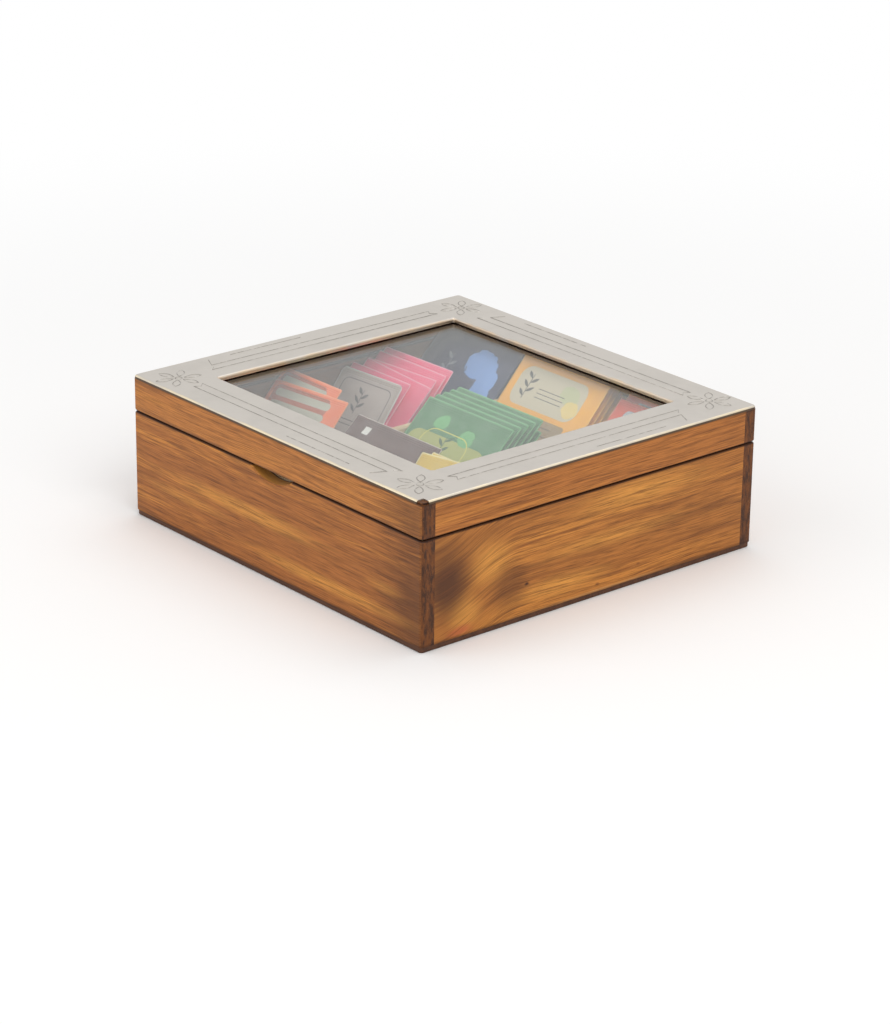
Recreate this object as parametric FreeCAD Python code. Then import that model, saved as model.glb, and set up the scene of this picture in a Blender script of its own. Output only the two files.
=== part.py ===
# Tea bag organiser box: a stained wooden box of nine compartments with a hinged
# glass-topped lid, and the wrapped tea bags that it holds.
#
# Frame: millimetres, origin at the middle of the box's underside, +X to the right
# along the front, +Y towards the hinged back, +Z up. The lid is modelled closed.
# Every piece is one solid in parts/, apart from the envelopes that lie hidden
# beneath others, which share one file in each pile.

import FreeCAD
import Part

import math
import os
from dataclasses import dataclass

# ---- Box body ------------------------------------------------------------------
BOX_WIDTH = 230.0  # over the side boards, along X
BOX_DEPTH = 217.0  # over the front and back boards, along Y
BODY_HEIGHT = 56.6  # underside to rim
BOARD = 8.0  # thickness of every side of the box and of the lid
FLOOR = 3.0  # thickness of the bottom panel
FLOOR_INSET = 0.4  # the bottom panel's edge lies this far inside the boards
CORNER = 2.0  # rounding of the upright corners
ARRIS = 1.1  # rounding of the long edges on either side of the seam
FOOT_ARRIS = 0.8  # rounding of the bottom panel's lower edge

# ---- Finger notch in the front board -----------------------------------------------
NOTCH_WIDTH = 33.4  # at the rim
NOTCH_DEPTH = 5.2  # at its middle
NOTCH_EASE = 0.8  # chamfer of its outer edge

# ---- Dividers -----------------------------------------------------------------------
DIVIDER = 4.0  # thickness
DIVIDER_HEIGHT = 41.0  # above the bottom panel
DIVIDER_EASE = 0.8  # chamfer of the top edges
LAP_CLEARANCE = 0.1  # each side of a divider in the slot that it crosses
END_CLEARANCE = 0.1  # between a divider's end and the board that it meets

# ---- Lid ------------------------------------------------------------------------------
SEAM = 0.4  # between the rim and the closed lid
LID_WOOD = 18.3  # height of the lid's rails
SLAT = 6.0  # thickness of the frame that carries the metal and the glass
MARGIN_SIDE = 30.3  # window edge to the lid's side, left and right
MARGIN_FRONT = 31.0
MARGIN_BACK = 29.0
GLASS = 2.0  # thickness
GLASS_LAP = 6.0  # width of the rebate that takes the glass
GLASS_CLEARANCE = 0.5  # between the glass and the rebate's side
GLASS_LIP = 2.2  # wood left above the glass

# ---- Pressed metal cover ----------------------------------------------------------------
SHEET = 0.8  # thickness of the sheet
COVER_DROP = 1.0  # how far its outer edge turns down below the top of the wood
WINDOW_DROP = 1.6  # how far its window edge turns down
COVER_CORNER = 2.4  # rounding of its outer corners
WINDOW_CORNER = 1.2  # rounding of its window corners
COVER_BEND = 1.2  # outside radius of both bends
COVER_FIT = 0.05  # between the turned edges and the wood
RELIEF = 4.2  # square cut out of the front right corner

# ---- Hinges ----------------------------------------------------------------------------------
HINGE_SPREAD = 130.0  # middle to middle
LEAF_LENGTH = 22.0
LEAF_WIDTH = 6.4  # from the box's back face inwards
LEAF = 0.8  # thickness, let in flush
LEAF_FIT = 0.1  # between a leaf and its recess
BARREL_RADIUS = 1.6
BARREL_SINK = 0.2  # how far a barrel stands inside the line of the back face
KNUCKLE_GAP = 0.15  # between neighbouring knuckles
SWING_CLEARANCE = 0.25  # round a knuckle, where the other leaf is cut back
PIN_RADIUS = 0.8
PIN_CLEARANCE = 0.05
PIN_HEAD_RADIUS = 1.25
PIN_HEAD = 0.5

# ---- Contents -------------------------------------------------------------------------------
SEAL = 0.6  # thickness of an envelope's sealed edge
SEAL_WIDTH = 4.5
BULGE_SLOPE = 7.0  # run from the seal up to the flat of the bulge
REST = 0.3  # clearance under and behind a resting envelope


@dataclass(frozen=True)
class Envelope:
    """Size of one wrapped tea bag: across, from foot to top edge, and at the bulge."""

    width: float
    height: float
    thickness: float = 2.8
    corner: float = 0.0


@dataclass(frozen=True)
class Slip:
    """One envelope that shows in a pile.

    lift is its distance off the rearmost envelope, square to its face; slide moves it
    up its own face and shift to the right; turn rotates it in its own plane, in degrees;
    under is how many envelopes lie hidden between it and the one before; size is given
    where it differs from the pile's.
    """

    name: str
    lift: float
    slide: float
    shift: float = 0.0
    turn: float = 0.0
    under: int = 0
    size: Envelope | None = None


@dataclass(frozen=True)
class Pile:
    """A leaning pile in one compartment.

    stand is how far the rearmost envelope's foot is in front of the divider or board
    that the pile leans on. A pile that leans on another has its lean in degrees.
    """

    tea: str
    column: int
    row: int
    size: Envelope
    stand: float
    slips: tuple
    lean: float = 0.0


WIDE = Envelope(width=66.0, height=71.0)
SLIM = Envelope(width=55.0, height=70.0, thickness=2.4)
NARROW = Envelope(width=48.0, height=70.0, thickness=2.4)
ROUNDED = Envelope(width=48.0, height=69.0, thickness=2.4, corner=3.0)
STRIPED = Envelope(width=58.0, height=71.0, thickness=2.4)
SHORT = Envelope(width=60.0, height=70.0)

PILES = (
    Pile("navy", 0, 2, WIDE, 51.1, (Slip("front", 13.8, 2.0, under=4),)),
    Pile("orange", 1, 2, WIDE, 48.3, (Slip("front", 17.6, 0.0, under=5),)),
    Pile("red", 2, 2, WIDE, 49.9, (
        Slip("rear", 11.0, 3.4, under=3),
        Slip("front", 14.7, -3.6),
    )),
    Pile("pink", 0, 1, SLIM, 38.6, (
        Slip("1", 0.0, 8.4, turn=0.8),
        Slip("2", 2.8, 4.2),
        Slip("3", 6.1, -1.6, turn=1.9),
        Slip("4", 9.0, -5.0, turn=-3.0),
        Slip("5", 12.3, -9.4, shift=-6.0, size=NARROW),
    )),
    Pile("silver", 0, 1, ROUNDED, 59.8, (Slip("front", 0.0, 1.0, turn=1.7),), lean=38.0),
    Pile("green", 1, 1, WIDE, 45.0, (
        Slip("rear", 3.75, 5.0, under=1),
        Slip("front", 16.6, -9.9, under=3),
    )),
    Pile("striped", 0, 0, STRIPED, 40.7, (
        Slip("rear", 0.0, 12.5, shift=-7.0, size=NARROW),
        Slip("front", 2.6, 4.6, shift=2.4, turn=3.0),
    )),
    Pile("plum", 1, 0, WIDE, 47.4, (Slip("front", 2.9, 7.6, under=1),)),
    Pile("yellow", 2, 0, SHORT, 45.8, (Slip("front", 18.8, 0.6, shift=0.5, turn=6.0, under=6),)),
)

# ---- Worked out from the sizes above ------------------------------------------------------
HALF_WIDTH = BOX_WIDTH / 2
HALF_DEPTH = BOX_DEPTH / 2
INNER_WIDTH = BOX_WIDTH - 2 * BOARD
INNER_DEPTH = BOX_DEPTH - 2 * BOARD
COLUMN_WIDTH = (INNER_WIDTH - 2 * DIVIDER) / 3
ROW_DEPTH = (INNER_DEPTH - 2 * DIVIDER) / 3
DIVIDER_TOP = FLOOR + DIVIDER_HEIGHT
LID_BOTTOM = BODY_HEIGHT + SEAM
LID_TOP = LID_BOTTOM + LID_WOOD
COVER_TOP = LID_TOP + SHEET
SLAT_BOTTOM = LID_TOP - SLAT
GLASS_TOP = LID_TOP - GLASS_LIP
GLASS_BOTTOM = GLASS_TOP - GLASS
WINDOW = (
    MARGIN_SIDE - HALF_WIDTH,
    HALF_WIDTH - MARGIN_SIDE,
    MARGIN_FRONT - HALF_DEPTH,
    HALF_DEPTH - MARGIN_BACK,
)  # x low, x high, y low, y high of the cover's window
AXIS_Y = HALF_DEPTH + BARREL_RADIUS - BARREL_SINK
AXIS_Z = BODY_HEIGHT + SEAM / 2
KNUCKLE = LEAF_LENGTH / 3

X_AXIS = FreeCAD.Vector(1, 0, 0)
Y_AXIS = FreeCAD.Vector(0, 1, 0)
Z_AXIS = FreeCAD.Vector(0, 0, 1)


def save(name, shape):
    """Write one sub-part as parts/NAME.step."""
    shape.exportStep(os.path.join("parts", name + ".step"))


def block(x0, x1, y0, y1, z0, z1):
    """A box between two opposite corners."""
    return Part.makeBox(x1 - x0, y1 - y0, z1 - z0, FreeCAD.Vector(x0, y0, z0))


def grown(bounds, by):
    """A rectangle (x low, x high, y low, y high) with every side moved out by a distance."""
    x0, x1, y0, y1 = bounds
    return (x0 - by, x1 + by, y0 - by, y1 + by)


def rod(x0, x1, radius):
    """A cylinder along X on the hinge line."""
    return Part.makeCylinder(radius, x1 - x0, FreeCAD.Vector(x0, AXIS_Y, AXIS_Z), X_AXIS)


def edges_where(shape, test):
    """The edges all of whose ends and middle pass a test of a point."""
    found = []
    for edge in shape.Edges:
        first, last = edge.ParameterRange
        points = [edge.valueAt(t) for t in (first, (first + last) / 2, last)]
        if all(test(p) for p in points):
            found.append(edge)
    return found


def near(a, b):
    """Whether two coordinates are the same."""
    return abs(a - b) < 1e-4


def round_upright(shape, corners, radius):
    """Round the upright edges that stand at the given (x, y) corners."""
    edges = edges_where(
        shape, lambda p: any(near(p.x, x) and near(p.y, y) for x, y in corners)
    )
    return shape.makeFillet(radius, edges)


def round_level(shape, z, outside, radius):
    """Round the edges at height z whose points pass the test outside."""
    edges = edges_where(shape, lambda p: near(p.z, z) and outside(p))
    return shape.makeFillet(radius, edges)


# ---- Boards, shared by the body and the lid ----------------------------------------------------


def on_outline(p):
    """Whether a point lies on the box's outer outline, seen from above."""
    if near(abs(p.x), HALF_WIDTH) or near(abs(p.y), HALF_DEPTH):
        return True
    return abs(p.x) > HALF_WIDTH - CORNER and abs(p.y) > HALF_DEPTH - CORNER


def long_board(side, z0, z1, seam_z):
    """A front (side -1) or back (side +1) board, which runs the full width."""
    outer = side * HALF_DEPTH
    inner = side * (HALF_DEPTH - BOARD)
    board = block(-HALF_WIDTH, HALF_WIDTH, min(outer, inner), max(outer, inner), z0, z1)
    board = round_upright(board, [(-HALF_WIDTH, outer), (HALF_WIDTH, outer)], CORNER)
    return round_level(board, seam_z, on_outline, ARRIS)


def side_board(side, z0, z1, seam_z):
    """A left (side -1) or right (side +1) board, which fits between front and back."""
    outer = side * HALF_WIDTH
    inner = side * (HALF_WIDTH - BOARD)
    reach = HALF_DEPTH - BOARD
    board = block(min(outer, inner), max(outer, inner), -reach, reach, z0, z1)
    return round_level(board, seam_z, lambda p: near(p.x, outer), ARRIS)


# ---- Box body ------------------------------------------------------------------------------------


def finger_notch():
    """The half-moon cut through the front board, with its outer edge eased."""
    half = NOTCH_WIDTH / 2
    radius = (half**2 + NOTCH_DEPTH**2) / (2 * NOTCH_DEPTH)
    centre_z = BODY_HEIGHT - NOTCH_DEPTH + radius
    start = FreeCAD.Vector(0, -HALF_DEPTH - 1, centre_z)
    cut = Part.makeCylinder(radius, BOARD + 2, start, Y_AXIS)
    ease = Part.makeCone(
        radius + NOTCH_EASE + 1, radius, NOTCH_EASE + 1, start, Y_AXIS
    )
    return cut.fuse(ease)


def hinge_places():
    """The name and the middle, in X, of each hinge."""
    return (("left", -HINGE_SPREAD / 2), ("right", HINGE_SPREAD / 2))


def leaf_recesses(z0, z1):
    """The shallow recesses that the hinge leaves are let into."""
    half = LEAF_LENGTH / 2 + LEAF_FIT
    y0 = HALF_DEPTH - LEAF_WIDTH - LEAF_FIT
    cuts = [
        block(x - half, x + half, y0, HALF_DEPTH + 1, z0, z1) for _, x in hinge_places()
    ]
    return Part.makeCompound(cuts)


def front_board():
    return long_board(-1, FLOOR, BODY_HEIGHT, BODY_HEIGHT).cut(finger_notch())


def back_board():
    board = long_board(1, FLOOR, BODY_HEIGHT, BODY_HEIGHT)
    return board.cut(leaf_recesses(BODY_HEIGHT - LEAF, BODY_HEIGHT + 1))


def bottom_panel():
    x = HALF_WIDTH - FLOOR_INSET
    y = HALF_DEPTH - FLOOR_INSET
    panel = block(-x, x, -y, y, 0, FLOOR)
    corners = [(sx * x, sy * y) for sx in (-1, 1) for sy in (-1, 1)]
    panel = round_upright(panel, corners, CORNER)
    return round_level(panel, 0, lambda p: True, FOOT_ARRIS)


# ---- Dividers ----------------------------------------------------------------------------------


def line_between(index, cell):
    """The middle of the divider after cell number index, measured from the centre."""
    return (index - 0.5) * (cell + DIVIDER)


def divider_blank(reach):
    """A divider along X about the origin, standing on the bottom panel, top edges eased."""
    half = DIVIDER / 2
    blank = block(-reach, reach, -half, half, FLOOR, DIVIDER_TOP)
    edges = edges_where(
        blank, lambda p: near(p.z, DIVIDER_TOP) and near(abs(p.y), half)
    )
    return blank.makeChamfer(DIVIDER_EASE, edges)


def slots(crossings, z0, z1):
    """The half-height slots that another set of dividers crosses at."""
    half = DIVIDER / 2 + LAP_CLEARANCE
    return Part.makeCompound([block(c - half, c + half, -DIVIDER, DIVIDER, z0, z1) for c in crossings])


def long_divider(y):
    """A divider along X, slotted from above."""
    middle = FLOOR + DIVIDER_HEIGHT / 2
    crossings = [line_between(i, COLUMN_WIDTH) for i in range(2)]
    blank = divider_blank(INNER_WIDTH / 2 - END_CLEARANCE)
    cut = blank.cut(slots(crossings, middle - LAP_CLEARANCE, DIVIDER_TOP + 1))
    cut.translate(FreeCAD.Vector(0, y, 0))
    return cut


def cross_divider(x):
    """A divider along Y, slotted from below."""
    middle = FLOOR + DIVIDER_HEIGHT / 2
    crossings = [line_between(i, ROW_DEPTH) for i in range(2)]
    blank = divider_blank(INNER_DEPTH / 2 - END_CLEARANCE)
    cut = blank.cut(slots(crossings, FLOOR - 1, middle + LAP_CLEARANCE))
    cut.rotate(FreeCAD.Vector(0, 0, 0), Z_AXIS, 90)
    cut.translate(FreeCAD.Vector(x, 0, 0))
    return cut


# ---- Lid woodwork ------------------------------------------------------------------------------


def cover_seat():
    """What the metal's turned-down outer edge takes off the top of the rails."""
    z0 = LID_TOP - COVER_DROP - COVER_FIT
    around = block(-BOX_WIDTH, BOX_WIDTH, -BOX_DEPTH, BOX_DEPTH, z0, LID_TOP + 1)
    x = HALF_WIDTH - SHEET - COVER_FIT
    y = HALF_DEPTH - SHEET - COVER_FIT
    kept = block(-x, x, -y, y, z0 - 1, LID_TOP + 2)
    corners = [(sx * x, sy * y) for sx in (-1, 1) for sy in (-1, 1)]
    kept = round_upright(kept, corners, COVER_CORNER - SHEET)
    return around.cut(kept)


def lid_rails():
    """The four rails of the lid, by name."""
    seat = cover_seat()
    recesses = leaf_recesses(LID_BOTTOM - 1, LID_BOTTOM + LEAF)
    return {
        "lid_rail_front": long_board(-1, LID_BOTTOM, LID_TOP, LID_BOTTOM).cut(seat),
        "lid_rail_back": long_board(1, LID_BOTTOM, LID_TOP, LID_BOTTOM).cut(seat).cut(recesses),
        "lid_rail_left": side_board(-1, LID_BOTTOM, LID_TOP, LID_BOTTOM).cut(seat),
        "lid_rail_right": side_board(1, LID_BOTTOM, LID_TOP, LID_BOTTOM).cut(seat),
    }


def window_slats():
    """The frame inside the rails: four slats, rebated from below for the glass."""
    x = INNER_WIDTH / 2
    y = INNER_DEPTH / 2
    opening = grown(WINDOW, SHEET + COVER_FIT)
    rebate = grown(opening, GLASS_LAP)
    hole = block(*opening, SLAT_BOTTOM - 1, LID_TOP + 1)
    pocket = block(*rebate, SLAT_BOTTOM - 1, GLASS_TOP)
    cuts = hole.fuse(pocket)
    x0, x1, y0, y1 = opening
    blanks = {
        "window_slat_front": (-x, x, -y, y0),
        "window_slat_back": (-x, x, y1, y),
        "window_slat_left": (-x, x0, y0, y1),
        "window_slat_right": (x1, x, y0, y1),
    }
    return {
        name: block(*bounds, SLAT_BOTTOM, LID_TOP).cut(cuts)
        for name, bounds in blanks.items()
    }


def glass_pane():
    opening = grown(WINDOW, SHEET + COVER_FIT)
    return block(*grown(opening, GLASS_LAP - GLASS_CLEARANCE), GLASS_BOTTOM, GLASS_TOP)


def glazing_beads():
    """The four strips under the glass, which hold it in its rebate."""
    inner = grown(WINDOW, SHEET + COVER_FIT)
    outer = grown(inner, GLASS_LAP)
    (ix0, ix1, iy0, iy1), (ox0, ox1, oy0, oy1) = inner, outer
    strips = {
        "glazing_bead_front": (ox0, ox1, oy0, iy0),
        "glazing_bead_back": (ox0, ox1, iy1, oy1),
        "glazing_bead_left": (ox0, ix0, iy0, iy1),
        "glazing_bead_right": (ix1, ox1, iy0, iy1),
    }
    return {
        name: block(*bounds, SLAT_BOTTOM, GLASS_BOTTOM) for name, bounds in strips.items()
    }


# ---- Pressed metal cover ---------------------------------------------------------------------------


def rounded_slab(bounds, radius, z0, z1):
    """A slab on a rectangle with rounded upright corners."""
    x0, x1, y0, y1 = bounds
    corners = [(x, y) for x in (x0, x1) for y in (y0, y1)]
    return round_upright(block(x0, x1, y0, y1, z0, z1), corners, radius)


def metal_cover():
    """One sheet over the lid: turned down outside and in the window, one corner cut."""
    outline = (-HALF_WIDTH, HALF_WIDTH, -HALF_DEPTH, HALF_DEPTH)
    low = LID_TOP - COVER_DROP
    window_low = LID_TOP - WINDOW_DROP
    shell = rounded_slab(outline, COVER_CORNER, low, COVER_TOP)
    shell = round_level(shell, COVER_TOP, lambda p: True, COVER_BEND)
    hollow = rounded_slab(grown(outline, -SHEET), COVER_CORNER - SHEET, low - 1, LID_TOP)
    turned = rounded_slab(grown(WINDOW, SHEET), WINDOW_CORNER, window_low, COVER_TOP - SHEET / 2)
    sheet = shell.cut(hollow).fuse(turned)
    hole = rounded_slab(WINDOW, WINDOW_CORNER, window_low - 1, COVER_TOP + 1)
    sheet = sheet.cut(hole)
    x0, x1, y0, y1 = grown(WINDOW, 0.5)
    sheet = round_level(
        sheet, COVER_TOP, lambda p: x0 < p.x < x1 and y0 < p.y < y1, COVER_BEND
    )
    relief = block(
        HALF_WIDTH - RELIEF, HALF_WIDTH + 1, -HALF_DEPTH - 1, RELIEF - HALF_DEPTH, low - 1, COVER_TOP + 1
    )
    return sheet.cut(relief)


# ---- Hinges --------------------------------------------------------------------------------------


def hinge_leaf(x, outer_knuckles, z0, z1):
    """One leaf with its knuckles: the two outer ones, or the middle one."""
    start = x - LEAF_LENGTH / 2
    spans = [(start + i * KNUCKLE, start + (i + 1) * KNUCKLE) for i in range(3)]
    own = [spans[0], spans[2]] if outer_knuckles else [spans[1]]
    others = [spans[1]] if outer_knuckles else [spans[0], spans[2]]
    gap = KNUCKLE_GAP / 2
    leaf = block(start, start + LEAF_LENGTH, HALF_DEPTH - LEAF_WIDTH, AXIS_Y, z0, z1)
    swing = BARREL_RADIUS + SWING_CLEARANCE
    for x0, x1 in others:
        leaf = leaf.cut(rod(x0 - gap, x1 + gap, swing))
    for x0, x1 in own:
        inner0 = x0 + (gap if x0 > start + 1 else 0)
        inner1 = x1 - (gap if x1 < start + LEAF_LENGTH - 1 else 0)
        leaf = leaf.fuse(rod(inner0, inner1, BARREL_RADIUS))
    bore = rod(start - 1, start + LEAF_LENGTH + 1, PIN_RADIUS + PIN_CLEARANCE)
    return leaf.cut(bore).removeSplitter()


def hinge_pin(x):
    """The pin with a head at each end, just clear of the outer knuckles."""
    half = LEAF_LENGTH / 2 + PIN_CLEARANCE
    pin = rod(x - half, x + half, PIN_RADIUS)
    for x0 in (x - half - PIN_HEAD, x + half):
        pin = pin.fuse(rod(x0, x0 + PIN_HEAD, PIN_HEAD_RADIUS))
    return pin.removeSplitter()


# ---- Contents --------------------------------------------------------------------------------------


def rectangle_wire(half_width, y0, y1, z):
    corners = [(-half_width, y0), (half_width, y0), (half_width, y1), (-half_width, y1)]
    points = [FreeCAD.Vector(x, y, z) for x, y in corners]
    return Part.makePolygon(points + points[:1])


def tea_envelope(size):
    """A sealed envelope lying in X and Y, foot on y = 0, with a bulge on both faces."""
    half = size.width / 2
    sheet = block(-half, half, 0, size.height, -SEAL / 2, SEAL / 2)
    if size.corner:
        corners = [(x, y) for x in (-half, half) for y in (0, size.height)]
        sheet = round_upright(sheet, corners, size.corner)
    for face in (-1, 1):
        wires = [
            rectangle_wire(
                half - SEAL_WIDTH - run, SEAL_WIDTH + run, size.height - SEAL_WIDTH - run, z
            )
            for run, z in ((0, 0), (BULGE_SLOPE, face * size.thickness / 2))
        ]
        sheet = sheet.fuse(Part.makeLoft(wires, True, True))
    return sheet.removeSplitter()


def row_front(row):
    """Where a row of compartments begins, in Y."""
    return -INNER_DEPTH / 2 + row * (ROW_DEPTH + DIVIDER)


def pile_pose(pile):
    """The lean off the upright, in radians, and the foot (y, z) of the rearmost envelope."""
    back_y = row_front(pile.row) + ROW_DEPTH
    foot_y = back_y - pile.stand
    foot_z = FLOOR + REST + SEAL / 2
    if pile.lean:
        return math.radians(pile.lean), foot_y, foot_z
    if pile.row == 2:
        reach = pile.stand - REST - SEAL / 2
        return math.asin(reach / pile.size.height), foot_y, foot_z
    up = DIVIDER_TOP - foot_z
    behind = pile.size.thickness / 2 + REST
    lean = math.atan2(pile.stand, up) - math.asin(behind / math.hypot(pile.stand, up))
    return lean, foot_y, foot_z


def side_shift(slip, size):
    """How far an envelope stands to the right, up to where a corner meets the side."""
    turn = math.radians(abs(slip.turn))
    half = (size.width * math.cos(turn) + size.height * math.sin(turn)) / 2
    room = max(0.0, COLUMN_WIDTH / 2 - REST - half)
    return max(-room, min(room, slip.shift))


def placed(pile, slip):
    """An envelope of the pile, set in its compartment."""
    lean, foot_y, foot_z = pile_pose(pile)
    size = slip.size or pile.size
    envelope = tea_envelope(size)
    envelope.rotate(FreeCAD.Vector(0, size.height / 2, 0), Z_AXIS, slip.turn)
    envelope.translate(FreeCAD.Vector(side_shift(slip, size), slip.slide, slip.lift))
    envelope.rotate(FreeCAD.Vector(0, 0, 0), X_AXIS, 90 - math.degrees(lean))
    x = (pile.column - 1) * (COLUMN_WIDTH + DIVIDER)
    envelope.translate(FreeCAD.Vector(x, foot_y, foot_z))
    return envelope


def hidden_slips(before, slip):
    """The evenly spaced envelopes that lie hidden beneath a slip.

    They begin with the rearmost of the pile, or after the slip before.
    """
    lift, slide = (before.lift, before.slide) if before else (0.0, 0.0)
    first = 1 if before else 0
    steps = slip.under + first
    shares = [step / steps for step in range(first, steps)]
    return [
        Slip("beneath", lift + a * (slip.lift - lift), slide + a * (slip.slide - slide))
        for a in shares
    ]


def save_pile(pile):
    """Write the envelopes that show one by one, and the hidden ones together."""
    hidden = []
    before = None
    for slip in pile.slips:
        hidden += [placed(pile, beneath) for beneath in hidden_slips(before, slip)]
        save(f"{pile.tea}_tea_{slip.name}", placed(pile, slip))
        before = slip
    if hidden:
        save(f"{pile.tea}_tea_beneath", Part.makeCompound(hidden))


def main():
    os.makedirs("parts", exist_ok=True)
    save("front_board", front_board())
    save("back_board", back_board())
    save("left_board", side_board(-1, FLOOR, BODY_HEIGHT, BODY_HEIGHT))
    save("right_board", side_board(1, FLOOR, BODY_HEIGHT, BODY_HEIGHT))
    save("bottom_panel", bottom_panel())
    for index, name in enumerate(("front", "back")):
        save("long_divider_" + name, long_divider(line_between(index, ROW_DEPTH)))
    for index, name in enumerate(("left", "right")):
        save("cross_divider_" + name, cross_divider(line_between(index, COLUMN_WIDTH)))
    for pieces in (lid_rails(), window_slats(), glazing_beads()):
        for name, shape in pieces.items():
            save(name, shape)
    save("glass_pane", glass_pane())
    save("metal_cover", metal_cover())
    for name, x in hinge_places():
        save("body_leaf_" + name, hinge_leaf(x, True, BODY_HEIGHT - LEAF, BODY_HEIGHT))
        save("lid_leaf_" + name, hinge_leaf(x, False, LID_BOTTOM, LID_BOTTOM + LEAF))
        save("hinge_pin_" + name, hinge_pin(x))
    for pile in PILES:
        save_pile(pile)


main()
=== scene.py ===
"""Looks of a stained wooden tea box with a hinged lid, a pressed metal cover round a
glass window, and wrapped tea bags leaning in nine compartments.

The woodwork, glass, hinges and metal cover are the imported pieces, dressed here. The tea
envelopes are rebuilt as crimped paper packets, and the cover gets its pressed ornament
and the hinges their screws. Sizes in the classes are millimetres, meshes are metres.
"""

import logging
import math
from dataclasses import dataclass, field
from enum import Enum
from typing import Callable, Iterable, Sequence, Union

import bpy
import numpy as np
from bpy.types import Material, NodeSocket, NodeTree, Object
from mathutils import Matrix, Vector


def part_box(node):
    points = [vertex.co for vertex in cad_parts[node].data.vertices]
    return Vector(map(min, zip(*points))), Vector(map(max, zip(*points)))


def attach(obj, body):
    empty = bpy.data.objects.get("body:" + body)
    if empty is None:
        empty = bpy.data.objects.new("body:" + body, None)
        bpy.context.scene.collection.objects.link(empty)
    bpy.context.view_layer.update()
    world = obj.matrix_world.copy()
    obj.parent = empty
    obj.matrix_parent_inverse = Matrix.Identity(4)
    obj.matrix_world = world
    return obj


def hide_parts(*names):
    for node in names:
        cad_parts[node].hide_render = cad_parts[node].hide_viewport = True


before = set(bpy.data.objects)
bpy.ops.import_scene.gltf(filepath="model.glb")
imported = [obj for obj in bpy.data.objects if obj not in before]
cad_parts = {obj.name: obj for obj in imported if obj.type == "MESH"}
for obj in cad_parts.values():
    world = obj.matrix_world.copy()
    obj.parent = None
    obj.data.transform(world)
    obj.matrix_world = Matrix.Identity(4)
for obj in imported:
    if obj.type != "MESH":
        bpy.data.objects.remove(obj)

LOG = logging.getLogger("tea_box")
MM = 0.001
# The sockets that a Mix node uses for colours, by number: their names repeat on the node.
MIX_UNDER, MIX_OVER, MIX_RESULT = 6, 7, 2
Colour = tuple[int, int, int]
Point = tuple[float, float, float]
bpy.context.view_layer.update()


def linear(colour: Colour) -> tuple[float, float, float, float]:
    """Turns a screen colour, 0 to 255, into linear light, with full cover."""
    shares = [c / 255 for c in colour]
    return (*(s / 12.92 if s <= 0.04045 else ((s + 0.055) / 1.055) ** 2.4 for s in shares), 1.0)


# ---- Surface fields ----


def operation(name: str) -> Callable[..., "Field"]:
    """Makes a method of a field.

    Args:
        name: the operation of the Math node that the field and the other inputs go to.

    Returns:
        The method, which gives the node's result.
    """

    def method(self: "Field", *others: "Number") -> "Field":
        """The result of this field and the others.

        Args:
            others: the further inputs, in order.

        Returns:
            The node's result.
        """
        node = self.tree.nodes.new("ShaderNodeMath")
        node.operation = name
        for slot, value in zip(node.inputs, (self, *others)):
            feed(self.tree, slot, value)
        return Field(self.tree, node.outputs[0])

    return method


@dataclass(frozen=True)
class Field:
    """A number that varies over a surface, held as a socket of a node tree.

    least and most give the smaller and the larger of two, and size leaves out the sign.
    """

    tree: NodeTree
    socket: NodeSocket

    __add__, __sub__ = operation("ADD"), operation("SUBTRACT")
    __mul__, __truediv__ = operation("MULTIPLY"), operation("DIVIDE")
    least, most = operation("MINIMUM"), operation("MAXIMUM")
    size, root, sine = operation("ABSOLUTE"), operation("SQRT"), operation("SINE")

    def ramp(self, start: float, end: float) -> "Field":
        """Rises smoothly from 0 where this is start to 1 where it is end.

        Args:
            start: the value that gives 0.
            end: the value that gives 1, above or below start.

        Returns:
            The share, from 0 to 1.
        """
        node = self.tree.nodes.new("ShaderNodeMapRange")
        node.interpolation_type = "SMOOTHSTEP"
        low, high, first, last = (start, end, 0.0, 1.0) if start < end else (end, start, 1.0, 0.0)
        names = ("Value", "From Min", "From Max", "To Min", "To Max")
        for name, value in zip(names, (self, low, high, first, last)):
            feed(self.tree, node.inputs[name], value)
        return Field(self.tree, node.outputs["Result"])


Number = Union[Field, float]


def feed(tree: NodeTree, slot: NodeSocket, value: object) -> None:
    """Leads a field or a socket into a node's input, or writes a plain value there.

    Args:
        tree: the tree that holds the node.
        slot: the input.
        value: the field, socket or plain value.
    """
    value = value.socket if isinstance(value, Field) else value
    if isinstance(value, NodeSocket):
        tree.links.new(value, slot)
    else:
        slot.default_value = value


def distance(*parts: Field) -> Field:
    """The length of a vector given by its parts.

    Args:
        parts: the vector's parts.

    Returns:
        The length.
    """
    total = parts[0] * parts[0]
    for part in parts[1:]:
        total = total + part * part
    return total.root()


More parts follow.
